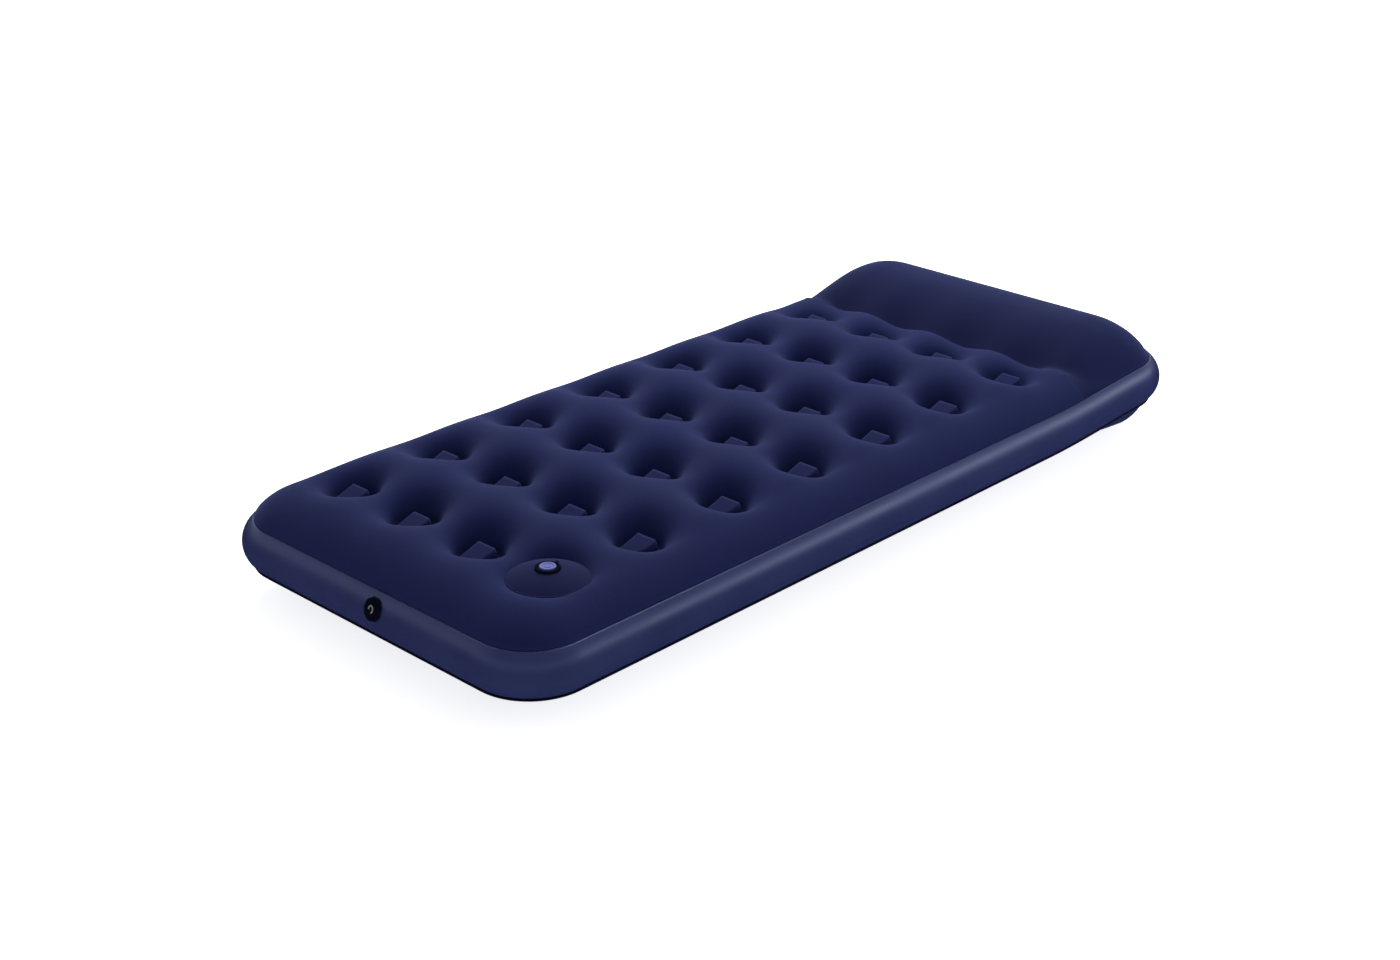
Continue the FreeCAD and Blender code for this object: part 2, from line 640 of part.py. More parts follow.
def make_valve_flange():
    """The socket of the inflation valve, on a patch welded inside the band."""
    layer = cut("patch_layer", band_cylinder("patch_outer", "Sizes.sheet"),
                band_cylinder("patch_inner", "2 * Sizes.sheet"))
    disc = at_valve(cylinder("patch_disc", "Sizes.valve_patch", "3 * Sizes.valve_depth"),
                    "0 - 2 * Sizes.valve_depth")
    patch = common("patch", [layer, disc])
    socket = at_valve(turned("socket", [
        ("Sizes.collar_radius", "0 - Sizes.valve_depth"),
        ("Sizes.valve_radius", "0 - Sizes.valve_depth"),
        ("Sizes.valve_radius", "Sizes.valve_proud"),
        (f"{COLLAR_HEAD} + Sizes.loose_gap", "Sizes.valve_proud"),
        (f"{COLLAR_HEAD} + Sizes.loose_gap", f"{HEAD_SEAT} - Sizes.gasket_height"),
        ("Sizes.collar_radius", f"{HEAD_SEAT} - Sizes.gasket_height"),
    ]))
    bore = at_valve(cylinder("socket_bore", f"{COLLAR_HEAD} + Sizes.loose_gap", "4 * Sizes.valve_depth"),
                    "0 - 2 * Sizes.valve_depth")
    as_node(fuse("valve_flange_fuse", [cut("patch_with_bore", patch, bore), socket]), "valve_flange")


def make_valve_collar():
    """The screw-in collar, which lifts out for fast deflation."""
    thread = "Sizes.collar_radius - Sizes.collar_clearance"
    collar = at_valve(turned("collar_body", [
        ("Sizes.port_radius", "0 - Sizes.valve_depth"),
        (thread, "0 - Sizes.valve_depth"),
        (thread, HEAD_SEAT),
        (COLLAR_HEAD, HEAD_SEAT),
        (COLLAR_HEAD, "Sizes.valve_proud"),
        ("Sizes.mouth_radius", "Sizes.valve_proud"),
        ("Sizes.mouth_radius", "Sizes.valve_proud - Sizes.mouth_depth"),
        ("Sizes.port_radius", "Sizes.valve_proud - Sizes.mouth_depth"),
    ]))
    as_node(collar, "valve_collar")
    gasket = at_valve(turned("gasket_body", [
        ("Sizes.collar_radius", f"{HEAD_SEAT} - Sizes.gasket_height"),
        (COLLAR_HEAD, f"{HEAD_SEAT} - Sizes.gasket_height"),
        (COLLAR_HEAD, HEAD_SEAT),
        ("Sizes.collar_radius", HEAD_SEAT),
    ]))
    as_node(gasket, "collar_gasket")


def make_valve_cap():
    """The stopper of the collar, held by a strap at its upper side."""
    under = "Sizes.valve_proud + Sizes.loose_gap"
    top = f"{under} + Sizes.cap_height"
    stopper = at_valve(turned("stopper", [
        ("0", f"{under} - Sizes.stopper_length"),
        ("Sizes.mouth_radius - Sizes.loose_gap", f"{under} - Sizes.stopper_length"),
        ("Sizes.mouth_radius - Sizes.loose_gap", under),
        ("Sizes.cap_radius", under),
        ("Sizes.cap_radius", top),
        ("0", top),
    ]))
    reach = "Sizes.cap_radius + Sizes.cap_height"
    tab = bind(doc.addObject("Part::Box", "stopper_tab"), Length="Sizes.tab_width", Width=reach,
               Height="Sizes.cap_height")
    turn(tab, Vector(1, 0, 0), VALVE_TURN)
    place(tab, "Sizes.valve_side - Sizes.tab_width / 2", f"{VALVE_Y} - ({under}) * sin({VALVE_TURN})",
          f"Sizes.valve_level + ({under}) * cos({VALVE_TURN})")
    as_node(fuse("stopper_fuse", [stopper, tab]), "valve_cap")


def make_valve_flap():
    """The inner one-way flap of the collar, which closes when the pump stops."""
    flap = cylinder("valve_disc", "Sizes.port_radius + Sizes.seat_height", "Sizes.flap_height")
    as_node(at_valve(flap, "0 - Sizes.valve_depth - Sizes.loose_gap - Sizes.flap_height"), "valve_flap")


def check_and_write():
    """Check every object and write each sub-part to its own file."""
    doc.recompute()
    for item in doc.Objects:
        if "Invalid" in item.State or "Error" in item.State:
            raise RuntimeError(f"{item.Name} failed: {item.State}")
    os.makedirs("parts", exist_ok=True)
    for node in nodes:
        shape = node.Shape
        if shape.isNull() or not shape.isValid():
            raise RuntimeError(f"{node.Label} has no valid shape")
    for node in nodes:
        node.Shape.exportStep(os.path.join("parts", f"{node.Label}.step"))


make_top_sheet()
make_side_band()
make_bottom_sheet()
for place_name, x, y in grid_places():
    make_coil_beam(place_name, x, y)
make_pillow_beam()
make_pump_well()
make_pump_dome()
make_pump_foam()
make_intake_ring()
make_intake_seat()
make_intake_flap()
make_intake_cap()
make_outlet_valve()
make_valve_flange()
make_valve_collar()
make_valve_cap()
make_valve_flap()
check_and_write()
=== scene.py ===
import json
import math

import bmesh
import bpy
import numpy as np
from bpy.props import FloatProperty, FloatVectorProperty, IntProperty, PointerProperty
from mathutils import Matrix, Vector
from mathutils.geometry import delaunay_2d_cdt


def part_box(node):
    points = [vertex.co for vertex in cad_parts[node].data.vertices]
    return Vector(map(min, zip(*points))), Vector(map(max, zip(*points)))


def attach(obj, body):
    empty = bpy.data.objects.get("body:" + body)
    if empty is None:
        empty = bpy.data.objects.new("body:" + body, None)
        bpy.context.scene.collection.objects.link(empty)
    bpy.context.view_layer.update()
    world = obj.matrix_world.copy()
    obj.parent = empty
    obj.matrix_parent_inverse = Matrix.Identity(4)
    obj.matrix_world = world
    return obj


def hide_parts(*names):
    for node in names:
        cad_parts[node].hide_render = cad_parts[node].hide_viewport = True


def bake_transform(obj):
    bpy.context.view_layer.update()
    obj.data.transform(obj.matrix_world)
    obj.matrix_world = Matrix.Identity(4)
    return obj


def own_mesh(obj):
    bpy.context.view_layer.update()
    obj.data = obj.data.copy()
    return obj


bl_info = {
    "name": "Air mattress",
    "version": (1, 0, 0),
    "blender": (4, 5, 0),
    "location": "View3D > Sidebar > Air mattress",
    "description": "Builds a flocked air mattress with a pillow, a foot pump and a foot-end valve",
    "category": "Object",
}

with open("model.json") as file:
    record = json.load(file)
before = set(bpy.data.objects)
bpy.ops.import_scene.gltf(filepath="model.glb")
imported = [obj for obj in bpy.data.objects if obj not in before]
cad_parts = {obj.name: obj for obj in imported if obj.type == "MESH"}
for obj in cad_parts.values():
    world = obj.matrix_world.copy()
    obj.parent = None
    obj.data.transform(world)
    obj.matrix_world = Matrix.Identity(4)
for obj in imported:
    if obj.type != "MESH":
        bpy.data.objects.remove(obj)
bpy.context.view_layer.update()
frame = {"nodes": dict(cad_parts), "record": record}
JOINTS = {joint["name"]: joint for joint in frame["record"]["behaviour"]["joints"]}
ROOT = "root"
SHEET = 0.0008  # thickness of the vinyl
VALVE_HOLE = 0.0197  # radius of the hole for the valve
LIFT_REACH = 0.42  # how far from the head end the seams start to rise
FLOOR_REACH = 60.0
FLOOR_LEVEL = -0.0005  # just below the bed, so that no two faces lie in one plane
TINY = 1e-7  # nearer points than this are one point
NO_AREA = 1e-10  # faces smaller than this are slivers

# the fold inside each pit, measured from the pit's middle
FOLD_AT = 0.008
FOLD_HALF = 0.038
FOLD_START = 0.008
FOLD_SLOPE = 0.40
FOLD_DROP = 0.0030

# ---- sizes


def box_of(node):
    """Lowest and highest corner of a node, as arrays in metres."""
    low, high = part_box(node)
    return np.array(low), np.array(high)


def middle_of(node):
    low, high = box_of(node)
    return (low + high) / 2


TOP_LOW, TOP_HIGH = box_of("top_sheet")
_, BAND_HIGH = box_of("side_band")
_, BOTTOM_HIGH = box_of("bottom_sheet")
HALF_WIDTH = TOP_HIGH[0]
HALF_LENGTH = TOP_HIGH[1]
UPPER_SEAM = TOP_LOW[2]
LOWER_SEAM = BOTTOM_HIGH[2]
FLANGE = BOTTOM_HIGH[0] - HALF_WIDTH
BULGE = BAND_HIGH[0] - HALF_WIDTH
COILS = sorted(name for name in frame["nodes"] if name.startswith("coil_beam"))
PITS = [middle_of(name)[:2] for name in COILS]
CUP = middle_of(COILS[0])[2] * 2 - UPPER_SEAM  # height of the cup under each coil
PUMP = middle_of("intake_ring")
DOME_LOW, DOME_HIGH = box_of("pump_dome")
DOME_RADIUS = (DOME_HIGH[0] - DOME_LOW[0]) / 2
RIM_LEVEL = DOME_LOW[2]
VALVE = np.array(JOINTS["collar_turn"]["pos_m"])
VALVE_OUT = np.array(JOINTS["collar_turn"]["axis"])
CREASE_Y = middle_of("pillow_beam")[1] + 0.015  # the strip under the crease leans back to meet it
VALLEY_Y = CREASE_Y + 0.014  # the lowest line behind the crease
PIT_COLUMNS = sorted({round(float(x), 4) for x, _ in PITS})
PITCH_ACROSS = PIT_COLUMNS[1] - PIT_COLUMNS[0]


def length(name, description, default, least=0.0):
    return FloatProperty(name=name, description=description, default=default, min=least, unit="LENGTH")


def colour_of(name, description, default):
    return FloatVectorProperty(name=name, description=description, default=default,
                               subtype="COLOR", size=3, min=0, max=1)


class MattressSizes(bpy.types.PropertyGroup):
    """Sizes that shape the inflated skin."""
    corner_radius: length("Corner radius", "Radius of the bed's corners at the seams", 0.103, 0.02)
    weld_radius: length("Weld radius", "Radius of the weld at the bottom of each pit", 0.040, 0.01)
    pit_floor: length("Pit floor", "Height of the groove at the bottom of each pit", 0.150, 0.142)
    fold_height: length("Fold height", "Height of the fold that crosses each pit", 0.182, 0.142)
    bed_pressure: FloatProperty(
        name="Bed fullness", description="How round the bed swells between its welds",
        default=1.40, min=0.1)
    neck_pressure: FloatProperty(
        name="Neck fullness", description="How round the skin swells behind the crease, under the pillow",
        default=0.25, min=0)
    crease_height: length("Crease height", "Height of the crease in front of the pillow", 0.182, 0.142)
    crease_scallop: length("Crease scallop", "How much lower the crease runs behind a pit", 0.011)
    valley_depth: length("Valley depth", "How far the skin drops between crease and pillow", 0.011)
    crease_reach: length("Crease reach", "Half the length of the pillow's crease", 0.345, 0.1)
    crest_height: length("Crest height", "Height of the crests between pits over the upper seam", 0.064, 0.01)
    flank_power: FloatProperty(
        name="Flank power", description="How straight the flanks of the pits are; 0.5 is a round arc",
        default=0.61, min=0.3, max=1.5)
    seam_ease: FloatProperty(
        name="Seam ease", description="How much more gently the skin leaves the seam",
        default=0.36, min=0, max=0.9, subtype="FACTOR")
    pillow_shoulder: length("Pillow shoulder", "How far inside the seam the pillow is full", 0.150, 0.03)
    head_lift: length("Head lift", "How far the seams rise towards the head end", 0.018, 0.001)
    pillow_top: length("Pillow top", "Height of the pillow's crown", TOP_HIGH[2] - 0.005, 0.15)
    evenness: FloatProperty(
        name="Roll evenness", description="How even the rolls along the long sides are",
        default=0.7, min=0, max=1, subtype="FACTOR")
    bottom_reach: length("Bottom reach", "How far inside the seam the bottom meets the floor", 0.135, 0.05)
    solve_step: length("Solve step", "Spacing of the grid on which the skin finds its shape", 0.002, 0.001)
    sweeps: IntProperty(
        name="Solve sweeps", description="How many times each level of the grid is relaxed",
        default=220, min=20)


class MattressColours(bpy.types.PropertyGroup):
    """Colours of the finishes, linear."""
    flock: colour_of("Flock", "Colour of the flocked top", (0.0093, 0.0126, 0.0560))
    vinyl: colour_of("Vinyl", "Colour of the smooth side band", (0.0150, 0.0205, 0.088))
    black: colour_of("Black plastic", "Colour of the pump's ring and the valve", (0.0030, 0.0034, 0.0085))
    lavender: colour_of("Cap", "Colour of the pump's intake cap", (0.085, 0.100, 0.320))
    # the grip's light grey is a painted highlight on its rib
    painted_grip_highlight: colour_of("Stopper", "Colour of the grip on the valve's stopper", (0.17, 0.18, 0.16))
    foam: colour_of("Foam", "Colour of the pump's foam", (0.62, 0.56, 0.40))


def sizes():
    return bpy.context.scene.mattress_sizes


def colours():
    return bpy.context.scene.mattress_colours


# ---- materials


class Value:
    """A socket of a node tree, on which arithmetic adds Math nodes."""

    def __init__(self, tree, socket):
        self.tree = tree
        self.socket = socket

    def math(self, operation, other, swap=False):
        first, second = (other, self) if swap else (self, other)
        return self.tree.node("ShaderNodeMath", {"operation": operation}, {0: first, 1: second})

    def __add__(self, other):
        return self.math("ADD", other)

    def __radd__(self, other):
        return self.math("ADD", other, swap=True)

    def __mul__(self, other):
        return self.math("MULTIPLY", other)

    def __rmul__(self, other):
        return self.math("MULTIPLY", other, swap=True)


class Tree:
    """A node tree of a material, the world or a modifier, built node by node."""

    def __init__(self, tree):
        self.tree = tree

    def node(self, kind, settings, inputs, output=0):
        """Adds one node, with its settings first and then its inputs."""
        made = self.tree.nodes.new(kind)
        for key, value in settings.items():
            if key == "stops":
                self.set_stops(made.color_ramp, value)
            else:
                setattr(made, key, value)
        for key, value in inputs.items():
            self.feed(made.inputs[key], value)
        return Value(self, made.outputs[output])

    def feed(self, socket, value):
        if isinstance(value, Value):
            self.tree.links.new(value.socket, socket)
        else:
            socket.default_value = value

    def set_stops(self, ramp, stops):
        for position, _ in stops[1:-1]:
            ramp.elements.new(position)
        for element, (position, colour) in zip(ramp.elements, stops):
            element.position = position
            element.color = (*colour, 1)

    def shades(self, factor, dark, light):
        """Mixes two colours by a factor; either may be a link."""
        ends = [colour if isinstance(colour, Value) else (*colour, 1) for colour in (dark, light)]
        return self.node("ShaderNodeMix", {"data_type": "RGBA"}, {0: factor, 6: ends[0], 7: ends[1]}, 2)


class Finish(Tree):
    """A material round one Principled shader."""

    def __init__(self, name):
        self.material = bpy.data.materials.new(name)
        self.material.use_nodes = True
        super().__init__(self.material.node_tree)
        self.shader = self.tree.nodes["Principled BSDF"]
        self.place = self.node("ShaderNodeTexCoord", {}, {}, "Object")

    def wire(self, **values):
        """Sets or links the shader's own sockets, named with underscores for spaces."""
        for name, value in values.items():
            self.feed(self.shader.inputs[name.replace("_", " ")], value)

    def noise(self, scale, detail=2.0, roughness=0.5):
        inputs = {"Vector": self.place, "Scale": scale, "Detail": detail, "Roughness": roughness}
        return self.node("ShaderNodeTexNoise", {}, inputs, "Fac")

    def mapped(self, value, start, end, low, high):
        """Maps a span of a value onto a range, held at both ends."""
        inputs = {"Value": value, "From Min": start, "From Max": end, "To Min": low, "To Max": high}
        return self.node("ShaderNodeMapRange", {"clamp": True}, inputs)

    def between(self, factor, low, high):
        """Maps the span that a noise factor mostly fills onto a range."""
        return self.mapped(factor, 0.3, 0.7, low, high)

    def mottled(self, factor, colour, spread):
        """A colour that drifts a little to either side of itself."""
        return self.shades(self.between(factor, 0, 1), tinted(colour, 1 - spread), tinted(colour, 1 + spread))

    def bump(self, height, strength, distance, below=None):
        inputs = {"Height": height, "Strength": strength, "Distance": distance}
        if below is not None:
            inputs["Normal"] = below
        return self.node("ShaderNodeBump", {}, inputs)


# how dark the flock is, as painted shade: at the crease and over the pillow (the valley's shade and the
# pillow's dimmer light), on the pump's dome, and the share of its grain
PAINTED_SHADE_AT_CREASE = 0.56
PAINTED_SHADE_ON_PILLOW = 0.82
PAINTED_SHADE_ON_DOME = 0.74
GRAIN_SHARE = 0.36


def tinted(colour, factor):
    return tuple(min(1.0, channel * factor) for channel in colour)


def flock_finish(name="flocked_top", painted_shade=1.0):
    """Short dense flock: matt, softly bright where it is seen edge on, faintly brushed; painted shade darkens
    it behind the crease, over the pillow and, by a factor, all over.
    """
    finish = Finish(name)
    # a factor below one darkens the whole flock: painted shade
    base = tinted(colours().flock, painted_shade)
    fibres = finish.noise(1900, 2, 0.6)
    brushed = finish.noise(7, 3, 0.55)
    along = finish.node("ShaderNodeSeparateXYZ", {}, {"Vector": finish.place}, "Y")
    # painted shade: from the crease back over the pillow the flock's colour is darkened, standing in for the
    # valley's shade and the pillow's dimmer light
    behind = finish.mapped(along, CREASE_Y + 0.002, CREASE_Y + 0.20, PAINTED_SHADE_AT_CREASE, PAINTED_SHADE_ON_PILLOW)
    shade = behind.math("MAXIMUM", along.math("LESS_THAN", CREASE_Y + 0.001))
    grain = finish.between(fibres, 0.0, 0.72) + finish.between(brushed, 0.0, 0.28)
    grain_and_painted_shade = grain * GRAIN_SHARE + shade * (1 - GRAIN_SHARE)
    finish.wire(Base_Color=finish.shades(grain_and_painted_shade, tinted(base, 0.16), tinted(base, 1.24)),
                Roughness=finish.between(brushed, 0.90, 0.98), Normal=finish.bump(fibres, 0.30, 0.0006),
                Sheen_Weight=0.10, Sheen_Roughness=0.35, Sheen_Tint=(0.35, 0.42, 1.0, 1),
                Specular_IOR_Level=0.12, Specular_Tint=(0.5, 0.6, 1.0, 1))
    return finish.material


def vinyl_finish(name, colour, roughness=0.40):
    """Smooth calendered vinyl with a faint orange peel and slow waves."""
    finish = Finish(name)
    peel = finish.noise(420, 2, 0.5)
    waves = finish.noise(9, 2, 0.5)
    soft = finish.bump(waves, 0.10, 0.004)
    finish.wire(Base_Color=finish.mottled(waves, colour, 0.07), Normal=finish.bump(peel, 0.05, 0.0004, soft),
                Roughness=finish.between(waves, roughness - 0.03, roughness + 0.04),
                Coat_Weight=0.12, Coat_Roughness=0.30, Specular_IOR_Level=0.45,
                Specular_Tint=(0.62, 0.72, 1.0, 1))
    return finish.material


def plastic_finish(name, colour, roughness=0.38, gloss=0.5):
    """Moulded plastic with a fine spark-eroded grain."""
    finish = Finish(name)
    grain = finish.noise(2600, 2, 0.5)
    cloud = finish.noise(60, 2, 0.5)
    finish.wire(Base_Color=finish.mottled(cloud, colour, 0.06), Normal=finish.bump(grain, 0.08, 0.0002),
                Roughness=finish.between(cloud, roughness - 0.05, roughness + 0.05),
                Specular_IOR_Level=gloss, Specular_Tint=(0.6, 0.65, 1.0, 1))
    return finish.material


def foam_finish():
    """Open-cell foam: a fine sponge of dark cells."""
    finish = Finish("open_foam")
    base = colours().foam
    cells = finish.node("ShaderNodeTexVoronoi", {}, {"Vector": finish.place, "Scale": 700.0}, "Distance")
    pores = finish.between(cells, 0.0, 1.0)
    finish.wire(Base_Color=finish.shades(pores, tinted(base, 0.55), tinted(base, 1.15)),
                Normal=finish.bump(cells, 0.5, 0.0008), Roughness=0.95)
    return finish.material


def rubber_finish():
    """Black seal rubber, a little dusty."""
    finish = Finish("seal_rubber")
    dust = finish.noise(160, 3, 0.6)
    shade = finish.shades(finish.between(dust, 0, 1), (0.010, 0.010, 0.012), (0.024, 0.024, 0.027))
    finish.wire(Base_Color=shade, Roughness=finish.between(dust, 0.62, 0.78),
                Normal=finish.bump(finish.noise(1500), 0.1, 0.0002))
    return finish.material


MAKERS = {
    "flocked_vinyl": flock_finish,
    # the dome's flock is a darker copy of the top's: painted shade
    "dome_flock": lambda: flock_finish("flocked_dome", PAINTED_SHADE_ON_DOME),
    "navy_vinyl": lambda: vinyl_finish("navy_vinyl", colours().vinyl),
    "inner_vinyl": lambda: vinyl_finish("inner_vinyl", tinted(colours().vinyl, 1.3), 0.45),
    "seam_vinyl": lambda: vinyl_finish("seam_vinyl", tinted(colours().vinyl, 0.30), 0.50),
    "black_plastic": lambda: plastic_finish("black_plastic", colours().black, 0.66, 0.005),
    "lavender_plastic": lambda: plastic_finish("lavender_plastic", colours().lavender, 0.55, 0.2),
    # the grip's grey finish is a painted highlight
    "grey_plastic": lambda: plastic_finish("grey_plastic", colours().painted_grip_highlight),
    "foam": foam_finish,
    "seal_rubber": rubber_finish,
}
made_finishes = {}


def finish_for(slot):
    """One material for each slot, made when it is first asked for."""
    if slot not in made_finishes:
        made_finishes[slot] = MAKERS[slot]()
    return made_finishes[slot]


# ---- mesh helpers


def placed(name, mesh, slot, smooth=True):
    """An object for a mesh, at the origin, with its finish."""
    piece = bpy.data.objects.new(name, mesh)
    bpy.context.scene.collection.objects.link(piece)
    mesh.materials.append(finish_for(slot))
    if smooth:
        mesh.shade_smooth()
    return piece


def new_piece(name, points, faces, slot):
    """A piece from points and faces."""
    mesh = bpy.data.meshes.new(name)
    mesh.from_pydata([tuple(p) for p in points], [], [tuple(f) for f in faces])
    mesh.update()
    return placed(name, mesh, slot)


def from_bmesh(name, made, slot, smooth=True):
    """A piece from a bmesh, which is freed."""
    mesh = bpy.data.meshes.new(name)
    made.to_mesh(mesh)
    made.free()
    return placed(name, mesh, slot, smooth)


def settle(piece):
    """Turns a piece's modifiers into plain mesh."""
    evaluated = piece.evaluated_get(bpy.context.evaluated_depsgraph_get())
    mesh = bpy.data.meshes.new_from_object(evaluated)
    piece.modifiers.clear()
    old = piece.data
    piece.data = mesh
    bpy.data.meshes.remove(old)
    return piece


def thicken(piece, thickness):
    """Gives an open sheet its thickness, inwards."""
    solid = piece.modifiers.new("thickness", "SOLIDIFY")
    solid.thickness = thickness
    solid.offset = -1
    return settle(piece)


def finish_piece(piece, body, slot, *nodes):
    """Says which body a piece rides on, and the nodes it stands for; the slot is not used."""
    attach(piece, body)
    if nodes:
        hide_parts(*nodes)
    return piece


def outline(inset, spacing):
    """Points and outward directions round the bed's rounded rectangle."""
    radius = sizes().corner_radius - inset
    across = HALF_WIDTH - sizes().corner_radius
    along = HALF_LENGTH - sizes().corner_radius
    corner_steps = max(8, round(math.pi / 2 * sizes().corner_radius / spacing))
    points = []
    normals = []
    corners = [(1, 1, 0), (-1, 1, 90), (-1, -1, 180), (1, -1, 270)]
    for index, (right, up, start) in enumerate(corners):
        centre = np.array([right * across, up * along])
        for step in range(corner_steps + 1):
            angle = math.radians(start + 90 * step / corner_steps)
            normal = np.array([math.cos(angle), math.sin(angle)])
            points.append(centre + radius * normal)
            normals.append(normal)
        side = 2 * (across if index % 2 == 0 else along)
        side_steps = round(side / spacing)
        following = corners[(index + 1) % 4]
        end = np.array([following[0] * across, following[1] * along]) + radius * normal
        for step in range(1, side_steps):
            share = step / side_steps
            points.append(points[-step] * (1 - share) + end * share)
            normals.append(normal)
    return np.array(points), np.array(normals)


def inset_of(x, y):
    """Distance of points inside the bed's outline; negative outside it."""
    radius = sizes().corner_radius
    across = np.abs(x) - (HALF_WIDTH - radius)
    along = np.abs(y) - (HALF_LENGTH - radius)
    outside = np.hypot(np.maximum(across, 0), np.maximum(along, 0))
    return radius - outside - np.minimum(np.maximum(across, along), 0)


def smoothstep(low, high, value):
    share = np.clip((value - low) / (high - low), 0, 1)
    return share * share * (3 - 2 * share)


def lift_at(y):
    """How far the pillow pulls the seams up towards the head end."""
    return sizes().head_lift * smoothstep(HALF_LENGTH - LIFT_REACH, HALF_LENGTH, y)


def circle(centre, radius, count, phase=0.0):
    angles = phase + 2 * math.pi * np.arange(count) / count
    return np.stack([centre[0] + radius * np.cos(angles), centre[1] + radius * np.sin(angles)], 1)


def lattice(xs, ys, shift=0.0):
    """Points in rows, every other row shifted."""
    x, y = np.meshgrid(xs, ys)
    x = x + (np.arange(len(ys)) % 2)[:, None] * shift
    return np.stack([x.ravel(), y.ravel()], 1)


def apart(points, centre):
    """Distance of points in the plane from a centre."""
    return np.hypot(*(points - centre[:2]).T)


def triangulated(points):
    """Triangles over scattered points in the plane, counter-clockwise, without slivers."""
    result = delaunay_2d_cdt([Vector(p) for p in points], [], [], 0, 1e-6)
    points, faces = np.array([tuple(v) for v in result[0]]), np.array(result[2])
    corners = points[faces]
    area = np.cross(corners[:, 1] - corners[:, 0], corners[:, 2] - corners[:, 0])
    return points, faces[np.abs(area) > NO_AREA]


def lathe(name, profile, slot, centre, out=(0, 0, 1), steps=64):
    """A turned piece: profile holds radii and heights, run so that faces look outwards."""
    turn = Vector((0, 0, 1)).rotation_difference(Vector(out)).to_matrix()
    made = bmesh.new()
    rings = []
    for radius, height in profile:
        if radius < TINY:
            rings.append([made.verts.new((0, 0, height))])
            continue
        ring = [made.verts.new((radius * math.cos(a), radius * math.sin(a), height))
                for a in (2 * math.pi * k / steps for k in range(steps))]
        rings.append(ring)
    closed = profile[0][0] > TINY and profile[-1][0] > TINY
    pairs = list(zip(rings, rings[1:])) + ([(rings[-1], rings[0])] if closed else [])
    for low, high in pairs:
        for k in range(steps):
            corners = ((low, k), (low, k + 1), (high, k + 1), (high, k))
            unique = list(dict.fromkeys(ring[i % len(ring)] for ring, i in corners))
            if len(unique) > 2:
                made.faces.new(unique)
    bmesh.ops.recalc_face_normals(made, faces=made.faces)
    bmesh.ops.transform(made, matrix=turn.to_4x4(), verts=made.verts)
    bmesh.ops.translate(made, vec=Vector(centre), verts=made.verts)
    return from_bmesh(name, made, slot)


def rounded(profile, radius, steps=4, closed=True):
    """Rounds the corners of a profile, each by no more than its shorter side allows."""
    points = [np.array(p, float) for p in profile]
    count = len(points)
    result = []
    for i, corner in enumerate(points):
        if not closed and i in (0, count - 1):
            result.append(tuple(corner))
            continue
        before = points[i - 1] - corner
        after = points[(i + 1) % count] - corner
        reach = min(radius, np.linalg.norm(before) * 0.45, np.linalg.norm(after) * 0.45)
        start = corner + before / np.linalg.norm(before) * reach
        end = corner + after / np.linalg.norm(after) * reach
        for step in range(steps + 1):
            share = step / steps
            point = (1 - share) ** 2 * start + 2 * share * (1 - share) * corner + share ** 2 * end
            result.append(tuple(point))
    return result


# ---- the top skin


EASE_REACH = 0.05  # how far from the seam the skin still leaves it gently
VALLEY_REACH = 0.8  # the held part of the valley, as a share of the crease
VALLEY_FULL = 0.6  # the part of the crease behind which the valley is full
FIRST_GUESS = 0.003  # the square that the solve starts from
FREE_SPAN = 0.2  # a usual span between welds, which sets the solve's rate
FASTEST_RATE = 1.9
EDGE_FILLS = 6  # rows of cells over which the edge ratio is carried outwards
STRAIGHT_FROM, STRAIGHT_TO = -0.62, 0.46  # the part of the long sides away from pump and pillow
EVEN_FROM, EVEN_TO = (-0.80, -0.68), (0.42, 0.55)  # where the even rolls fade in and out along the bed
ROLL_EDGE = (0.045, 0.088)  # where the even rolls fade out across the bed
BY_SEAM = 0.06  # nearer the seam than this, heights come from the edge ratio
PILLOW_BLEND = 0.006  # how softly the pillow and the bed's skin meet
LIFT_FADE = 0.11  # how far inside the seam its lift is still felt
PILLOW_CORNER = 3  # power that rounds the pillow's corners in plan
PILLOW_SHOULDER = 2.4  # power that rounds its shoulders in section
PILLOW_FRONT = 1.9  # power that rounds its front slope
FRONT_SHARE = 0.48  # the part of the pillow's depth that the front slope takes
SEAM_SOFT = 0.012  # how far inside the seam the pillow leaves it
RIM_EASE = 0.006  # width over which a fold runs out at the weld's edge


def ease(distance):
    """How much lower the skin lies near the seam than an even pressure alone gives."""
    return 1 - sizes().seam_ease * np.exp(-np.maximum(distance, 0) / EASE_REACH)


def rise_of(square, distance):
    """Height above the upper seam for a solved square."""
    crest = sizes().crest_height
    return ease(distance) * crest * (np.maximum(square, 0) / crest ** 2) ** sizes().flank_power


def square_of(rise, distance):
    """The square that gives a height above the upper seam."""
    crest = sizes().crest_height
    return crest ** 2 * (rise / (crest * ease(distance))) ** (1 / sizes().flank_power)


def crease_at(x):
    """Height of the crease, which sags behind each pit."""
    phase = 2 * math.pi * (x - PIT_COLUMNS[0]) / PITCH_ACROSS
    past_pits = (np.abs(x) - PIT_COLUMNS[-1]) / PITCH_ACROSS
    inner = 1 - smoothstep(0.3, 0.5, past_pits)
    return sizes().crease_height - sizes().crease_scallop / 2 * np.cos(phase) * inner


def valley_share(x):
    """The valley behind the crease fades out towards the crease's ends."""
    return 1 - smoothstep(VALLEY_FULL * sizes().crease_reach, sizes().crease_reach, np.abs(x))


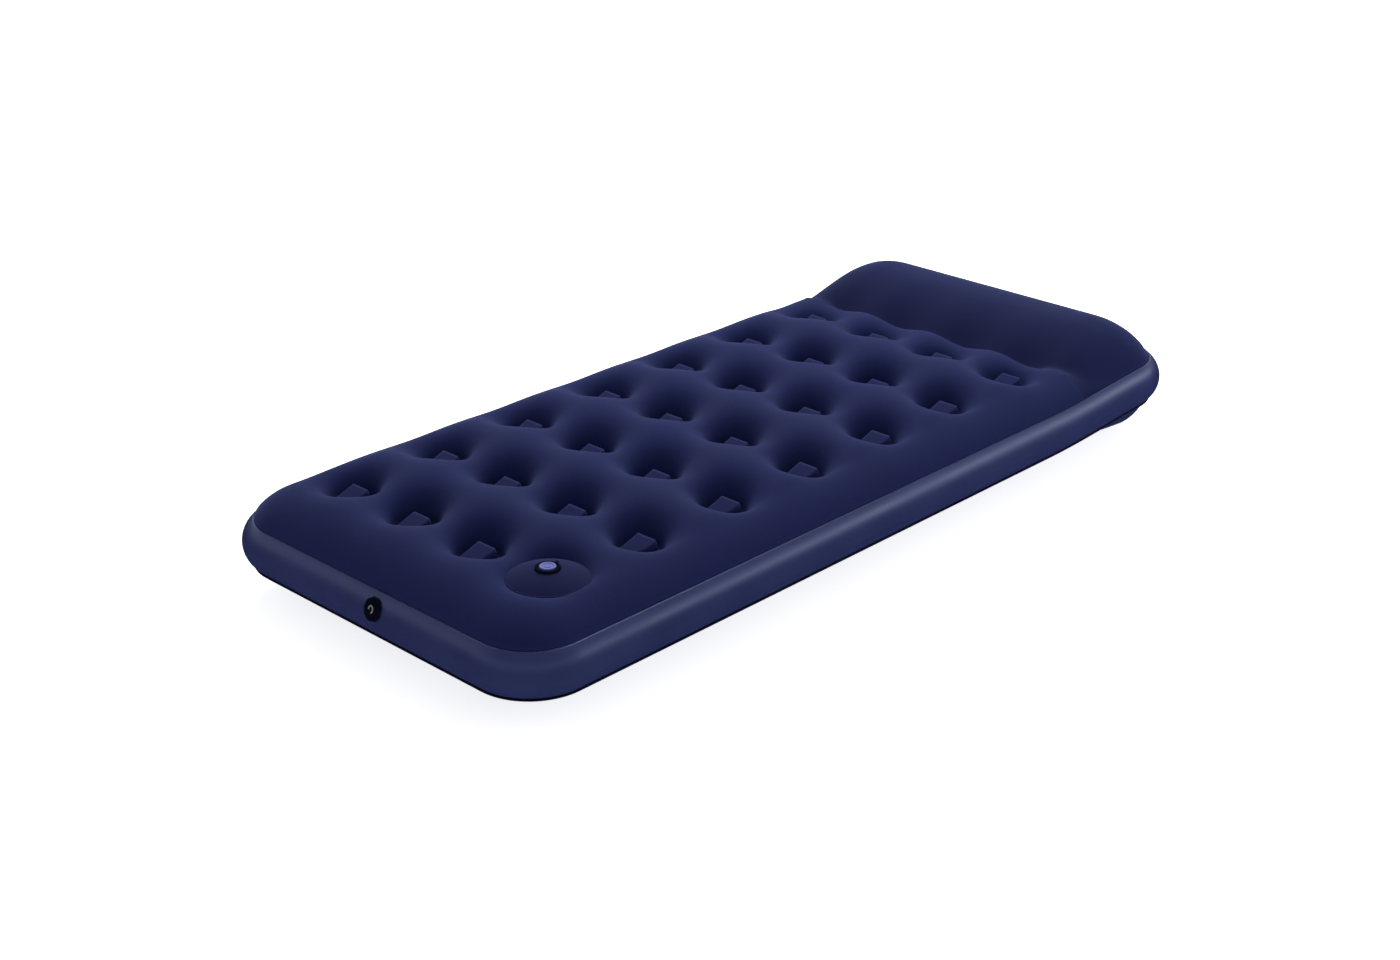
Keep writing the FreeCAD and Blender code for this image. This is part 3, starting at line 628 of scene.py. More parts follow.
def fixed_heights(x, y, step):
    """Where the skin is welded down, and how high above the upper seam."""
    welds = [(np.hypot(x - pit[0], y - pit[1]) <= sizes().weld_radius, sizes().pit_floor) for pit in PITS]
    welds.append((np.hypot(x - PUMP[0], y - PUMP[1]) <= DOME_RADIUS + 0.001, RIM_LEVEL))
    crease = crease_at(x)
    valley = crease - valley_share(x) * sizes().valley_depth
    for at, share, level in ((CREASE_Y, 1, crease), (VALLEY_Y, VALLEY_REACH, valley)):
        row = np.abs(y - at) <= 0.51 * step
        welds.append((row & (np.abs(x) < share * sizes().crease_reach), level))
    held = inset_of(x, y) <= 0
    height = np.zeros_like(x)
    for inside, level in welds:
        held |= inside
        height = np.where(inside, level - UPPER_SEAM, height)
    return held, height


def sampled(grid, values, points):
    """Bilinear samples of grid values at scattered points."""
    (xs, ys), (x, y) = grid, points.T
    fx = np.interp(x, xs, np.arange(len(xs)))
    fy = np.interp(y, ys, np.arange(len(ys)))
    ix = np.clip(fx.astype(int), 0, len(xs) - 2)
    iy = np.clip(fy.astype(int), 0, len(ys) - 2)
    ax = fx - ix
    ay = fy - iy
    low = values[ix, iy] * (1 - ay) + values[ix, iy + 1] * ay
    high = values[ix + 1, iy] * (1 - ay) + values[ix + 1, iy + 1] * ay
    return low * (1 - ax) + high * ax


def inflate():
    """The square of the skin's height under even pressure, on a grid.

    A skin under pressure is a round arc across any free span. The square of an
    arc's height falls off as a parabola, so the square obeys Poisson's equation,
    which is relaxed here from a coarse grid to a fine one.
    """
    squares = grid = None
    for coarse in (8, 4, 2, 1):
        step = sizes().solve_step * coarse
        xs = np.arange(-HALF_WIDTH - 2 * step, HALF_WIDTH + 2.5 * step, step)
        ys = np.arange(-HALF_LENGTH - 2 * step, HALF_LENGTH + 2.5 * step, step)
        x, y = np.meshgrid(xs, ys, indexing="ij")
        held, height = fixed_heights(x, y, step)
        if squares is None:
            squares = np.full_like(x, FIRST_GUESS)
        else:
            squares = sampled(grid, squares, np.stack([x.ravel(), y.ravel()], 1)).reshape(x.shape)
        squares = np.where(held, square_of(height, inset_of(x, y)), squares)
        swell = np.where(y < CREASE_Y, sizes().bed_pressure, sizes().neck_pressure) * step ** 2
        colour = np.add.outer(np.arange(len(xs)), np.arange(len(ys))) % 2
        free = ~held[1:-1, 1:-1]
        checks = [free & (colour[1:-1, 1:-1] == side) for side in (0, 1)]
        rate = min(FASTEST_RATE, 2 / (1 + math.sin(math.pi * step / FREE_SPAN)))
        core = squares[1:-1, 1:-1]
        for _ in range(sizes().sweeps):
            for check in checks:
                around = squares[2:, 1:-1] + squares[:-2, 1:-1] + squares[1:-1, 2:] + squares[1:-1, :-2]
                target = (around + swell[1:-1, 1:-1]) / 4
                core += np.where(check, rate * (target - core), 0)
        grid = (xs, ys)
    return grid, squares


def edge_safe(grid, squares):
    """Squares divided by the distance to the seam, which stays smooth up to the seam."""
    xs, ys = grid
    x, y = np.meshgrid(xs, ys, indexing="ij")
    distance = inset_of(x, y)
    known = distance > 2.5 * sizes().solve_step
    ratio = np.where(known, squares / np.maximum(distance, 1e-6), 0)
    for _ in range(EDGE_FILLS):
        total = np.zeros_like(ratio)
        count = np.zeros_like(ratio)
        for dx in (-1, 0, 1):
            for dy in (-1, 0, 1):
                total += np.roll(np.where(known, ratio, 0), (dx, dy), (0, 1))
                count += np.roll(known.astype(float), (dx, dy), (0, 1))
        spread = ~known & (count > 0)
        ratio[spread] = total[spread] / count[spread]
        known = known | spread
    return ratio


def pit_height(across, along):
    """Height inside a weld: a fold rises gently from the foot side and drops behind."""
    floor = sizes().pit_floor
    past = along - FOLD_AT
    front = sizes().fold_height + FOLD_SLOPE * np.minimum(past, 0)
    back = floor + (sizes().fold_height - floor) * np.exp(-(np.maximum(past, 0) / FOLD_DROP) ** 2)
    fold = np.where(past <= 0, front, back)
    sides = smoothstep(-FOLD_HALF, -FOLD_START, across)
    radius = np.hypot(across, along)
    rim = 1 - smoothstep(sizes().weld_radius - RIM_EASE, sizes().weld_radius, radius)
    return floor + (fold - floor) * sides * rim


def side_profile(grid, ratio):
    """Mean of the edge ratio along the long sides, by distance from the seam."""
    xs, ys = grid
    along = (ys > STRAIGHT_FROM) & (ys < STRAIGHT_TO)
    means = ratio[:, along].mean(1)
    distance = np.minimum(xs + HALF_WIDTH, HALF_WIDTH - xs)
    left = xs < 0
    order = np.argsort(distance[left])
    return distance[left][order], (means[left] + means[::-1][left])[order] / 2


# distances at which the skin's points lie in rings or rows, close together where it turns
SEAM_ROWS = (0, 0.0004, 0.0015, 0.0035, 0.0062, 0.0098, 0.0142, 0.0195, 0.0255, 0.0325, 0.0405, 0.0490)
PIT_RINGS = ((-0.0065, 44), (-0.004, 44), (-0.002, 48), (0, 48), (0.0022, 48), (0.005, 48),
             (0.0085, 48), (0.013, 48), (0.018, 44))
FOLD_ROWS = (0.0, 0.0014, 0.0030, 0.0050)
PUMP_RINGS = (-0.0095, -0.005, -0.001, 0.0, 0.0008, 0.0018, 0.0034, 0.0058, 0.009, 0.013)
CREASE_ROWS = (-0.008, -0.0045, -0.002, 0, 0.002, 0.0045, 0.008, 0.011, 0.014, 0.017, 0.0205)
PLAIN_SPACING = 0.0070
FOLD_SPACING = 0.0034


def top_points():
    """Scattered points, close together where the skin turns sharply."""
    clouds = [outline(inset, 0.0085)[0] for inset in SEAM_ROWS]
    plain = lattice(np.arange(-HALF_WIDTH, HALF_WIDTH, PLAIN_SPACING),
                    np.arange(-HALF_LENGTH, HALF_LENGTH, PLAIN_SPACING * math.sqrt(3) / 2), PLAIN_SPACING / 2)
    keep = inset_of(*plain.T) > SEAM_ROWS[-1] + 0.0045
    weld = sizes().weld_radius
    for centre in PITS:
        keep &= apart(plain, centre) > weld + 0.021
    keep &= apart(plain, PUMP) > DOME_RADIUS + 0.015
    behind = plain[:, 1] - CREASE_Y
    by_crease = (behind > CREASE_ROWS[0] - 0.0015) & (behind < CREASE_ROWS[-1] + 0.004)
    keep &= ~(by_crease & (np.abs(plain[:, 0]) < sizes().crease_reach))
    clouds.append(plain[keep])
    span = np.arange(-0.034, 0.0341, FOLD_SPACING)
    inner = lattice(span, span)
    by_fold = np.abs(inner[:, 1] - FOLD_AT - 0.0022) <= 0.0038
    inner = inner[(np.hypot(*inner.T) < weld - 0.0075) & ~by_fold]
    fold_x = np.arange(-0.034, 0.0341, 0.0028)
    for centre in PITS:
        clouds.append(inner + centre)
        for back in FOLD_ROWS:
            line = np.stack([fold_x, np.full_like(fold_x, FOLD_AT + back)], 1)
            clouds.append(line[np.hypot(*line.T) < weld - 0.0070] + centre)
        for ring, (reach, count) in enumerate(PIT_RINGS):
            clouds.append(circle(centre, weld + reach, count, ring * math.pi / count))
    for reach in PUMP_RINGS:
        clouds.append(circle(PUMP, DOME_RADIUS + reach, 96))
    line = np.arange(-sizes().crease_reach, sizes().crease_reach, 0.005)
    for beside in CREASE_ROWS:
        clouds.append(np.stack([line, np.full_like(line, CREASE_Y + beside)], 1))
    return np.concatenate(clouds)


def soft_greater(first, second, blend):
    """The greater of two values, rounded where they cross."""
    gap = np.clip(1 - np.abs(first - second) / blend, 0, 1)
    fade = np.clip(np.minimum(first, second) / blend, 0, 1)
    return np.maximum(first, second) + fade * gap * gap * blend / 4


def pillow_rise(points, distance):
    """Height of the pillow above the seam: a bar as full at its ends as in its middle."""
    full = sizes().pillow_top - UPPER_SEAM
    shoulder = sizes().pillow_shoulder
    side = 1 - np.clip((HALF_WIDTH - np.abs(points[:, 0])) / shoulder, 0, 1)
    head = 1 - np.clip((HALF_LENGTH - points[:, 1]) / shoulder, 0, 1)
    out = np.clip((side ** PILLOW_CORNER + head ** PILLOW_CORNER) ** (1 / PILLOW_CORNER), 0, 1)
    round_in = (1 - out ** PILLOW_SHOULDER) * np.clip(distance / SEAM_SOFT, 0, 1)
    forward = np.clip((points[:, 1] - VALLEY_Y) / (FRONT_SHARE * (HALF_LENGTH - VALLEY_Y)), 0, 1)
    valley = valley_share(points[:, 0]) * sizes().valley_depth
    foot = (crease_at(points[:, 0]) - valley - UPPER_SEAM) / full
    front = foot + (1 - foot) * (1 - (1 - forward) ** PILLOW_FRONT)
    return np.where(points[:, 1] > VALLEY_Y, full * round_in * front, 0)


def top_heights(points):
    """Heights of the whole top: the skin under pressure, the pillow, the folds and the pump's ledge."""
    grid, squares = inflate()
    ratio = edge_safe(grid, squares)
    distance = np.maximum(inset_of(*points.T), 0)
    square = np.maximum(sampled(grid, ratio, points), 0) * distance
    inner = distance > BY_SEAM
    square[inner] = np.maximum(sampled(grid, squares, points[inner]), 0)
    reach, means = side_profile(grid, ratio)
    side = HALF_WIDTH - np.abs(points[:, 0])
    even = 1 - smoothstep(*ROLL_EDGE, side)
    even *= smoothstep(*EVEN_FROM, points[:, 1]) * (1 - smoothstep(*EVEN_TO, points[:, 1]))
    square += sizes().evenness * even * (np.interp(side, reach, means) * side - square)
    rise = soft_greater(rise_of(square, distance), pillow_rise(points, distance), PILLOW_BLEND)
    near_seam = 1 - smoothstep(0, LIFT_FADE, distance)
    heights = UPPER_SEAM + rise + near_seam * lift_at(points[:, 1])
    for centre in PITS:
        inside = apart(points, centre) <= sizes().weld_radius + 1e-6
        heights[inside] = pit_height(*(points[inside] - centre).T)
    on_ledge = apart(points, PUMP) <= DOME_RADIUS + 0.0009
    heights[on_ledge] = RIM_LEVEL
    return heights


def make_top_skin():
    """The flocked top in one sheet, with the pits, the pillow and the hole for the dome."""
    points, faces = triangulated(top_points())
    faces = faces[apart(points[faces].mean(1), PUMP) > DOME_RADIUS - 0.0098]
    used, faces = np.unique(faces, return_inverse=True)
    points = points[used]
    shape = np.column_stack([points, top_heights(points)])
    piece = new_piece("top_skin", shape, faces.reshape(-1, 3), "flocked_vinyl")
    thicken(piece, SHEET)
    finish_piece(piece, ROOT, "flocked_vinyl", "top_sheet")


class MATTRESS_OT_top_skin(bpy.types.Operator):
    """Build the flocked top with its pits and its pillow"""
    bl_idname = "mattress.top_skin"
    bl_label = "Top skin"

    def execute(self, context):
        make_top_skin()
        return {"FINISHED"}


# ---- band, bottom and seams


BAND_STEPS = 26


def make_side_band():
    """The smooth side, an arc between the seams, with a hole for the valve."""
    path, normals = outline(0, 0.009)
    half = (UPPER_SEAM - LOWER_SEAM) / 2
    radius = (half ** 2 + BULGE ** 2) / (2 * BULGE)
    swing = math.asin(half / radius)
    rings = []
    for k in range(BAND_STEPS + 1):
        angle = -swing + 2 * swing * k / BAND_STEPS
        out = BULGE - radius + radius * math.cos(angle)
        level = (UPPER_SEAM + LOWER_SEAM) / 2 + radius * math.sin(angle)
        rings.append(np.column_stack([path + normals * out, level + lift_at(path[:, 1])]))
    count = len(path)
    points = np.concatenate(rings)
    faces = []
    for k in range(BAND_STEPS):
        for i in range(count):
            low, low_next = k * count + i, k * count + (i + 1) % count
            faces.append((low, low_next, low_next + count, low + count))
    piece = new_piece("band_skin", points, faces, "navy_vinyl")
    thicken(piece, SHEET)
    cutter = lathe("band_cutter", [(0, -0.02), (VALVE_HOLE, -0.02), (VALVE_HOLE, 0.02), (0, 0.02)],
                   "navy_vinyl", VALVE, VALVE_OUT)
    hole = piece.modifiers.new("valve_hole", "BOOLEAN")
    hole.object = cutter
    hole.solver = "EXACT"
    settle(piece)
    bpy.data.objects.remove(cutter)
    finish_piece(piece, ROOT, "navy_vinyl", "side_band")


class MATTRESS_OT_side_band(bpy.types.Operator):
    """Build the smooth side band"""
    bl_idname = "mattress.side_band"
    bl_label = "Side band"

    def execute(self, context):
        make_side_band()
        return {"FINISHED"}


BOTTOM_POWER = 1.5  # how steeply the bottom leaves the seam, and how much more at the head end
HEAD_POWER = 3.2
CUP_EDGE = (0.034, 0.056)  # where a cup's flat ends and where it meets the floor
GROOVE_RADIUS, GROOVE_WIDTH, GROOVE_DEPTH = 0.031, 0.0022, 0.0025


def bottom_heights(points):
    """The underside: it comes down from the seam to the floor and dips in at each coil."""
    distance = np.maximum(inset_of(*points.T), 0)
    share = np.clip(1 - distance / sizes().bottom_reach, 0, 1)
    lift = lift_at(points[:, 1])
    steeper = HEAD_POWER * (lift / sizes().head_lift) ** 2
    heights = (LOWER_SEAM + lift) * share ** (BOTTOM_POWER + steeper)
    for centre in PITS:
        radius = apart(points, centre)
        groove = GROOVE_DEPTH * np.exp(-((radius - GROOVE_RADIUS) / GROOVE_WIDTH) ** 2)
        heights = np.maximum(heights, CUP * (1 - smoothstep(*CUP_EDGE, radius)) - groove)
    return heights


BOTTOM_ROWS = (0, 0.006, 0.013, 0.021, 0.030, 0.040, 0.051)
CUP_RINGS = ((0.010, 12), (0.019, 20), (0.026, 32), (0.0285, 36), (0.031, 36), (0.0335, 36),
             (0.037, 40), (0.041, 40), (0.045, 40), (0.049, 40), (0.053, 40), (0.0575, 40))
BOTTOM_SPACING = 0.0105


def make_bottom_skin():
    """The bottom sheet, from the lower seam down to the floor."""
    clouds = [outline(inset, 0.010)[0] for inset in BOTTOM_ROWS]
    plain = lattice(np.arange(-HALF_WIDTH, HALF_WIDTH, BOTTOM_SPACING),
                    np.arange(-HALF_LENGTH, HALF_LENGTH, BOTTOM_SPACING))
    keep = inset_of(*plain.T) > BOTTOM_ROWS[-1] + 0.007
    for centre in PITS:
        keep &= apart(plain, centre) > CUP_RINGS[-1][0] + 0.0035
        clouds.append(np.array([centre]))
        clouds += [circle(centre, radius, count) for radius, count in CUP_RINGS]
    clouds.append(plain[keep])
    points, faces = triangulated(np.concatenate(clouds))
    heights = np.maximum(bottom_heights(points), 0)
    piece = new_piece("bottom_skin", np.column_stack([points, heights]), faces[:, ::-1], "navy_vinyl")
    thicken(piece, SHEET)
    finish_piece(piece, ROOT, "navy_vinyl", "bottom_sheet")


class MATTRESS_OT_bottom_skin(bpy.types.Operator):
    """Build the bottom sheet with its shallow cups"""
    bl_idname = "mattress.bottom_skin"
    bl_label = "Bottom skin"

    def execute(self, context):
        make_bottom_skin()
        return {"FINISHED"}


def make_pillow_beam():
    """The inner strip under the crease, leaning to meet the skin from below."""
    made = bmesh.new()
    made.from_mesh(frame["nodes"]["pillow_beam"].data)
    bmesh.ops.remove_doubles(made, verts=made.verts, dist=1e-6)
    top = box_of("pillow_beam")[1][2]
    lower = (sizes().crease_height - sizes().crease_scallop / 2 - 3 * SHEET) / top
    for vertex in made.verts:
        vertex.co.y += (CREASE_Y - middle_of("pillow_beam")[1]) * vertex.co.z / top
        vertex.co.z *= lower
        under = bottom_heights(np.array([[vertex.co.x, vertex.co.y]]))[0] + 2 * SHEET
        vertex.co.z = max(vertex.co.z, under)
    strip = from_bmesh("pillow_beam_strip", made, "inner_vinyl", smooth=False)
    finish_piece(strip, ROOT, "inner_vinyl", "pillow_beam")


class MATTRESS_OT_pillow_beam(bpy.types.Operator):
    """Build the strip that holds the pillow's crease"""
    bl_idname = "mattress.pillow_beam"
    bl_label = "Pillow beam"

    def execute(self, context):
        make_pillow_beam()
        return {"FINISHED"}


class Growth(Tree):
    """A Geometry Nodes tree with one geometry in and out and named size inputs."""

    def __init__(self, name, labels):
        super().__init__(bpy.data.node_groups.new(name, "GeometryNodeTree"))
        for in_out in ("INPUT", "OUTPUT"):
            self.tree.interface.new_socket("Geometry", in_out=in_out, socket_type="NodeSocketGeometry")
        for label in labels:
            self.tree.interface.new_socket(label, in_out="INPUT", socket_type="NodeSocketFloat")
        source = self.tree.nodes.new("NodeGroupInput")
        self.given = {socket.name: Value(self, socket) for socket in source.outputs}

    def ended(self, shape, slot):
        """Makes instances real, sets the finish and gives the shape out."""
        real = self.node("GeometryNodeRealizeInstances", {}, {"Geometry": shape})
        coated = self.node("GeometryNodeSetMaterial", {}, {"Geometry": real, "Material": finish_for(slot)})
        result = self.tree.nodes.new("NodeGroupOutput")
        self.feed(result.inputs["Geometry"], coated)
        return self.tree


def strip_tree(slot):
    """A flat strip swept along a closed path."""
    growth = Growth("weld_strip", ("Width", "Thickness"))
    given = growth.given
    path = growth.node("GeometryNodeMeshToCurve", {}, {"Mesh": given["Geometry"]})
    upright = growth.node("GeometryNodeSetCurveNormal", {"mode": "Z_UP"}, {"Curve": path})
    flat = growth.node("GeometryNodeCurvePrimitiveQuadrilateral", {},
                       {"Width": given["Width"], "Height": given["Thickness"]})
    section = growth.node("GeometryNodeFilletCurve", {"mode": "POLY"},
                          {"Curve": flat, "Count": 3, "Radius": 0.00045})
    strip = growth.node("GeometryNodeCurveToMesh", {}, {"Curve": upright, "Profile Curve": section})
    return growth.ended(strip, slot)


def ring_tree(slot):
    """A thin round bead at each point."""
    growth = Growth("weld_rings", ("Radius", "Bead"))
    given = growth.given
    loop = growth.node("GeometryNodeCurvePrimitiveCircle", {}, {"Resolution": 48, "Radius": given["Radius"]})
    bead = growth.node("GeometryNodeCurvePrimitiveCircle", {}, {"Resolution": 8, "Radius": given["Bead"]})
    solid = growth.node("GeometryNodeCurveToMesh", {}, {"Curve": loop, "Profile Curve": bead})
    copies = growth.node("GeometryNodeInstanceOnPoints", {}, {"Points": given["Geometry"], "Instance": solid})
    return growth.ended(copies, slot)


def grown(name, points, edges, tree, values, slot):
    """A piece that a Geometry Nodes tree grows from points or a wire, made plain mesh."""
    mesh = bpy.data.meshes.new(name)
    mesh.from_pydata([tuple(p) for p in points], edges, [])
    piece = bpy.data.objects.new(name, mesh)
    bpy.context.scene.collection.objects.link(piece)
    growth = piece.modifiers.new("growth", "NODES")
    growth.node_group = tree
    for item in tree.interface.items_tree:
        if item.in_out == "INPUT" and item.name in values:
            growth[item.identifier] = values[item.name]
    settle(piece)
    made = bmesh.new()
    made.from_mesh(piece.data)
    bmesh.ops.remove_doubles(made, verts=made.verts, dist=TINY)
    bmesh.ops.recalc_face_normals(made, faces=made.faces)
    made.to_mesh(piece.data)
    made.free()
    piece.data.materials.clear()
    piece.data.materials.append(finish_for(slot))
    piece.data.shade_smooth()
    return piece


def make_seams():
    """The protruding lower weld, the narrow upper weld and the welds under the coils."""
    low = (0.0005 - FLANGE / 2, LOWER_SEAM - 0.0006, FLANGE + 0.001, 0.0014)
    high = (0.0008, UPPER_SEAM - 0.0003, 0.0018, 0.0010)
    strips = (("lower_weld", low, "seam_vinyl", "navy_vinyl"),
              ("upper_weld", high, "flocked_vinyl", "flocked_vinyl"))
    for name, (inset, level, width, thickness), finish, slot in strips:
        path, _ = outline(inset, 0.008)
        points = np.column_stack([path, level + lift_at(path[:, 1])])
        edges = [(i, (i + 1) % len(points)) for i in range(len(points))]
        measures = {"Width": width, "Thickness": thickness}
        piece = grown(name, points, edges, strip_tree(finish), measures, finish)
        finish_piece(piece, ROOT, slot)
    points = [(x, y, CUP - 0.0012) for x, y in PITS]
    measures = {"Radius": 0.0335, "Bead": 0.0009}
    piece = grown("cup_welds", points, [], ring_tree("inner_vinyl"), measures, "inner_vinyl")
    finish_piece(piece, ROOT, "navy_vinyl")


class MATTRESS_OT_seams(bpy.types.Operator):
    """Build the weld seams"""
    bl_idname = "mattress.seams"
    bl_label = "Weld seams"

    def execute(self, context):
        make_seams()
        return {"FINISHED"}


# ---- the foot pump


DOME_HOLE = 0.0163  # radius of the hole for the ring's neck
DOME_STEPS = 28
DOME_SKIN = 0.0010
FOAM_BORE = 0.020


def dome_profile(skin):
    """Half section of the dome, from its rim to its hole, less a skin's thickness."""
    span = DOME_RADIUS - 0.0012
    base = RIM_LEVEL + 0.001
    rise = DOME_HIGH[2] + 0.001 - base
    radius = (span ** 2 + rise ** 2) / (2 * rise)
    points = []
    for k in range(DOME_STEPS + 1):
        reach = span + (DOME_HOLE - span) * k / DOME_STEPS
        points.append((reach, base + rise - radius + math.sqrt(radius ** 2 - reach ** 2) - skin))
    return points


def make_pump():
    """The sprung dome, its foam, the intake ring and its cap."""
    centre = (PUMP[0], PUMP[1], 0)
    inner, outer = DOME_RADIUS - 0.0115, DOME_RADIUS - 0.0002
    rim = [(outer, RIM_LEVEL + 0.0002), (outer, RIM_LEVEL + 0.0010), (outer - 0.0004, RIM_LEVEL + 0.0013)]
    under = [p for p in reversed(dome_profile(DOME_SKIN)) if p[0] < 0.06]
    profile = rim + dome_profile(0) + under + [(inner, RIM_LEVEL + 0.0002)]
    dome = lathe("dome_skin", profile, "dome_flock", centre, steps=96)
    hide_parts("pump_dome")
    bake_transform(dome)
    low, high = box_of("pump_foam")
    radius = (high[0] - low[0]) / 2
    section = rounded([(FOAM_BORE, low[2]), (radius, low[2]), (radius, high[2]), (FOAM_BORE, high[2])], 0.004)
    foam = lathe("foam_block", section, "foam", centre)
    finish_piece(foam, ROOT, "foam", "pump_foam")
    tall = high[2] - low[2]
    left = (tall - JOINTS["pump_press"]["range_m"][1]) / tall
    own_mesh(foam)
    make_intake(centre)


def make_intake(centre):
    """The black ring with its neck, and the cap with its strap."""
    low, high = box_of("intake_ring")
    radius = (high[0] - low[0]) / 2
    foot, top = low[2], high[2]
    base = top - 0.0030
    section = rounded([
        (0.0130, foot), (0.0160, foot), (0.0160, base), (radius, base - 0.0003), (radius, top - 0.0012),
        (radius - 0.0020, top), (0.0165, top), (0.0145, top - 0.0006), (0.0145, foot + 0.001),
        (0.0130, foot + 0.001)], 0.0006)
    ring = lathe("intake_ring_moulding", section, "black_plastic", centre, steps=72)
    finish_piece(ring, "pump_top", "black_plastic", "intake_ring")
    low, high = box_of("intake_cap")
    plug, face = low[2], high[2]
    under = face - 0.0030
    section = rounded([
        (0, face - 0.0009), (0.0030, face - 0.0009), (0.0036, face - 0.0003), (0.0060, face - 0.0003),
        (0.0066, face - 0.0011), (0.0088, face - 0.0011), (0.0094, face - 0.0002), (0.0130, face),
        (0.0142, face - 0.0010), (0.0142, under), (0.0120, under), (0.0120, plug), (0.0105, plug),
        (0.0105, under), (0, under)], 0.0005, closed=False)
    cap = lathe("intake_cap_moulding", section, "lavender_plastic", centre, steps=72)
    hinge = JOINTS["intake_cap_swing"]["pos_m"]
    strap = strap_piece("intake_strap", (PUMP[0], PUMP[1] + 0.0125, hinge[2]),
                        (PUMP[0], hinge[1] + 0.0004, hinge[2]), (0, 0, 1), 0.0060, 0.0010, "black_plastic")
    finish_piece(strap, "intake_closure", "black_plastic")
    finish_piece(cap, "intake_closure", "lavender_plastic", "intake_cap")


def strap_piece(name, start, end, out, width, thickness, slot):
    """A short flat strap with rounded edges between two points."""
    start, end, out = Vector(start), Vector(end), Vector(out)
    along = (end - start).normalized()
    made = bmesh.new()
    bmesh.ops.create_cube(made, size=1)
    size = Matrix.Diagonal((width, (end - start).length, thickness, 1))
    turn = Matrix((along.cross(out), along, out)).transposed().to_4x4()
    bmesh.ops.transform(made, matrix=Matrix.Translation((start + end) / 2) @ turn @ size, verts=made.verts)
    bmesh.ops.bevel(made, geom=made.edges, offset=thickness * 0.4, segments=3, profile=0.5, affect="EDGES")
    bmesh.ops.recalc_face_normals(made, faces=made.faces)
    return from_bmesh(name, made, slot)


def join_into(piece, other):
    """Adds another piece's faces to a piece."""
    made = bmesh.new()
    made.from_mesh(piece.data)
    made.from_mesh(other.data)
    bpy.data.objects.remove(other)
    made.to_mesh(piece.data)
    made.free()
    piece.data.shade_smooth()


class MATTRESS_OT_foot_pump(bpy.types.Operator):
    """Build the foot pump's visible pieces"""
    bl_idname = "mattress.foot_pump"
    bl_label = "Foot pump"

    def execute(self, context):
        make_pump()
        return {"FINISHED"}


# ---- the valve


GRIP_STEPS = 14
GRIP_START, GRIP_SWEEP = -60, 250  # degrees


def make_valve():
    """The stopper of the foot-end valve, with a curved finger grip on its face."""
    out = Vector(VALVE_OUT)
    up = Vector((0, out.z, -out.y))
    section = rounded([
        (0, 0.0042), (0.0088, 0.0042), (0.0094, 0.0036), (0.0112, 0.0036), (0.0125, 0.0028),
        (0.0125, 0.0023), (0.0101, 0.0023), (0.0101, -0.0012), (0, -0.0012)], 0.0005, closed=False)
    stopper = lathe("stopper_moulding", section, "black_plastic", VALVE, VALVE_OUT, steps=56)
    grip_points = []
    for k in range(GRIP_STEPS + 1):
        angle = math.radians(GRIP_START + GRIP_SWEEP * k / GRIP_STEPS)
        across = Vector((0.0052 * math.cos(angle), 0, 0))
        grip_points.append(Vector(VALVE) + out * 0.0043 + across + up * 0.0060 * math.sin(angle))
    # the grip rib's grey finish is a painted highlight
    grip = tube_along("stopper_grip", grip_points, 0.0014, "grey_plastic")
    hinge = Vector(JOINTS["cap_swing"]["pos_m"])
    start = Vector(VALVE) + up * 0.0110 + out * (hinge - Vector(VALVE)).dot(out)
    strap = strap_piece("stopper_strap", start, hinge + up * 0.0003, out, 0.0080, 0.0014, "black_plastic")
    join_into(stopper, strap)
    finish_piece(grip, "stopper", "grey_plastic")
    finish_piece(stopper, "stopper", "black_plastic", "valve_cap")


def tube_along(name, points, radius, slot):
    """A round rib through points, with closed ends."""
    curve = bpy.data.curves.new(name, "CURVE")
    curve.dimensions = "3D"
    curve.bevel_depth = radius
    curve.bevel_resolution = 3
    curve.use_fill_caps = True
    spline = curve.splines.new("POLY")
    spline.points.add(len(points) - 1)
    for point, place in zip(spline.points, points):
        point.co = (*place, 1)
    holder = bpy.data.objects.new(name, curve)
    bpy.context.scene.collection.objects.link(holder)
    mesh = bpy.data.meshes.new_from_object(holder.evaluated_get(bpy.context.evaluated_depsgraph_get()))
    bpy.data.objects.remove(holder)
    return placed(name, mesh, slot, smooth=False)


class MATTRESS_OT_valve(bpy.types.Operator):
    """Build the foot-end valve's stopper"""
    bl_idname = "mattress.valve"
    bl_label = "Inflation valve"

    def execute(self, context):
        make_valve()
        return {"FINISHED"}


class MATTRESS_OT_finishes(bpy.types.Operator):
    """Give every carried-over part the finish of its material slot"""
    bl_idname = "mattress.finishes"
    bl_label = "Finishes"

    def execute(self, context):
        for subpart in frame["record"]["subparts"]:
            part = frame["nodes"][subpart["node"]]
            part.data.materials.clear()
            part.data.materials.append(finish_for(subpart["material_slot"]))
        return {"FINISHED"}


# ---- the stage


def new_floor():
    """A wide pale floor that glows a little, and that no gloss reflects."""
    signs = ((-1, -1), (1, -1), (1, 1), (-1, 1))
    corners = [(x * FLOOR_REACH, y * FLOOR_REACH, FLOOR_LEVEL) for x, y in signs]
    mesh = bpy.data.meshes.new("floor")
    mesh.from_pydata(corners, [], [(0, 1, 2, 3)])
    pale = Finish("pale_floor")
    pale.wire(Base_Color=(0.70, 0.70, 0.70, 1), Roughness=0.9)
    pale.wire(Emission_Color=(1, 1, 1, 1), Emission_Strength=FLOOR_GLOW)
    mesh.materials.append(pale.material)
    floor = bpy.data.objects.new("floor", mesh)
    bpy.context.scene.collection.objects.link(floor)
    floor.visible_glossy = False
    return floor


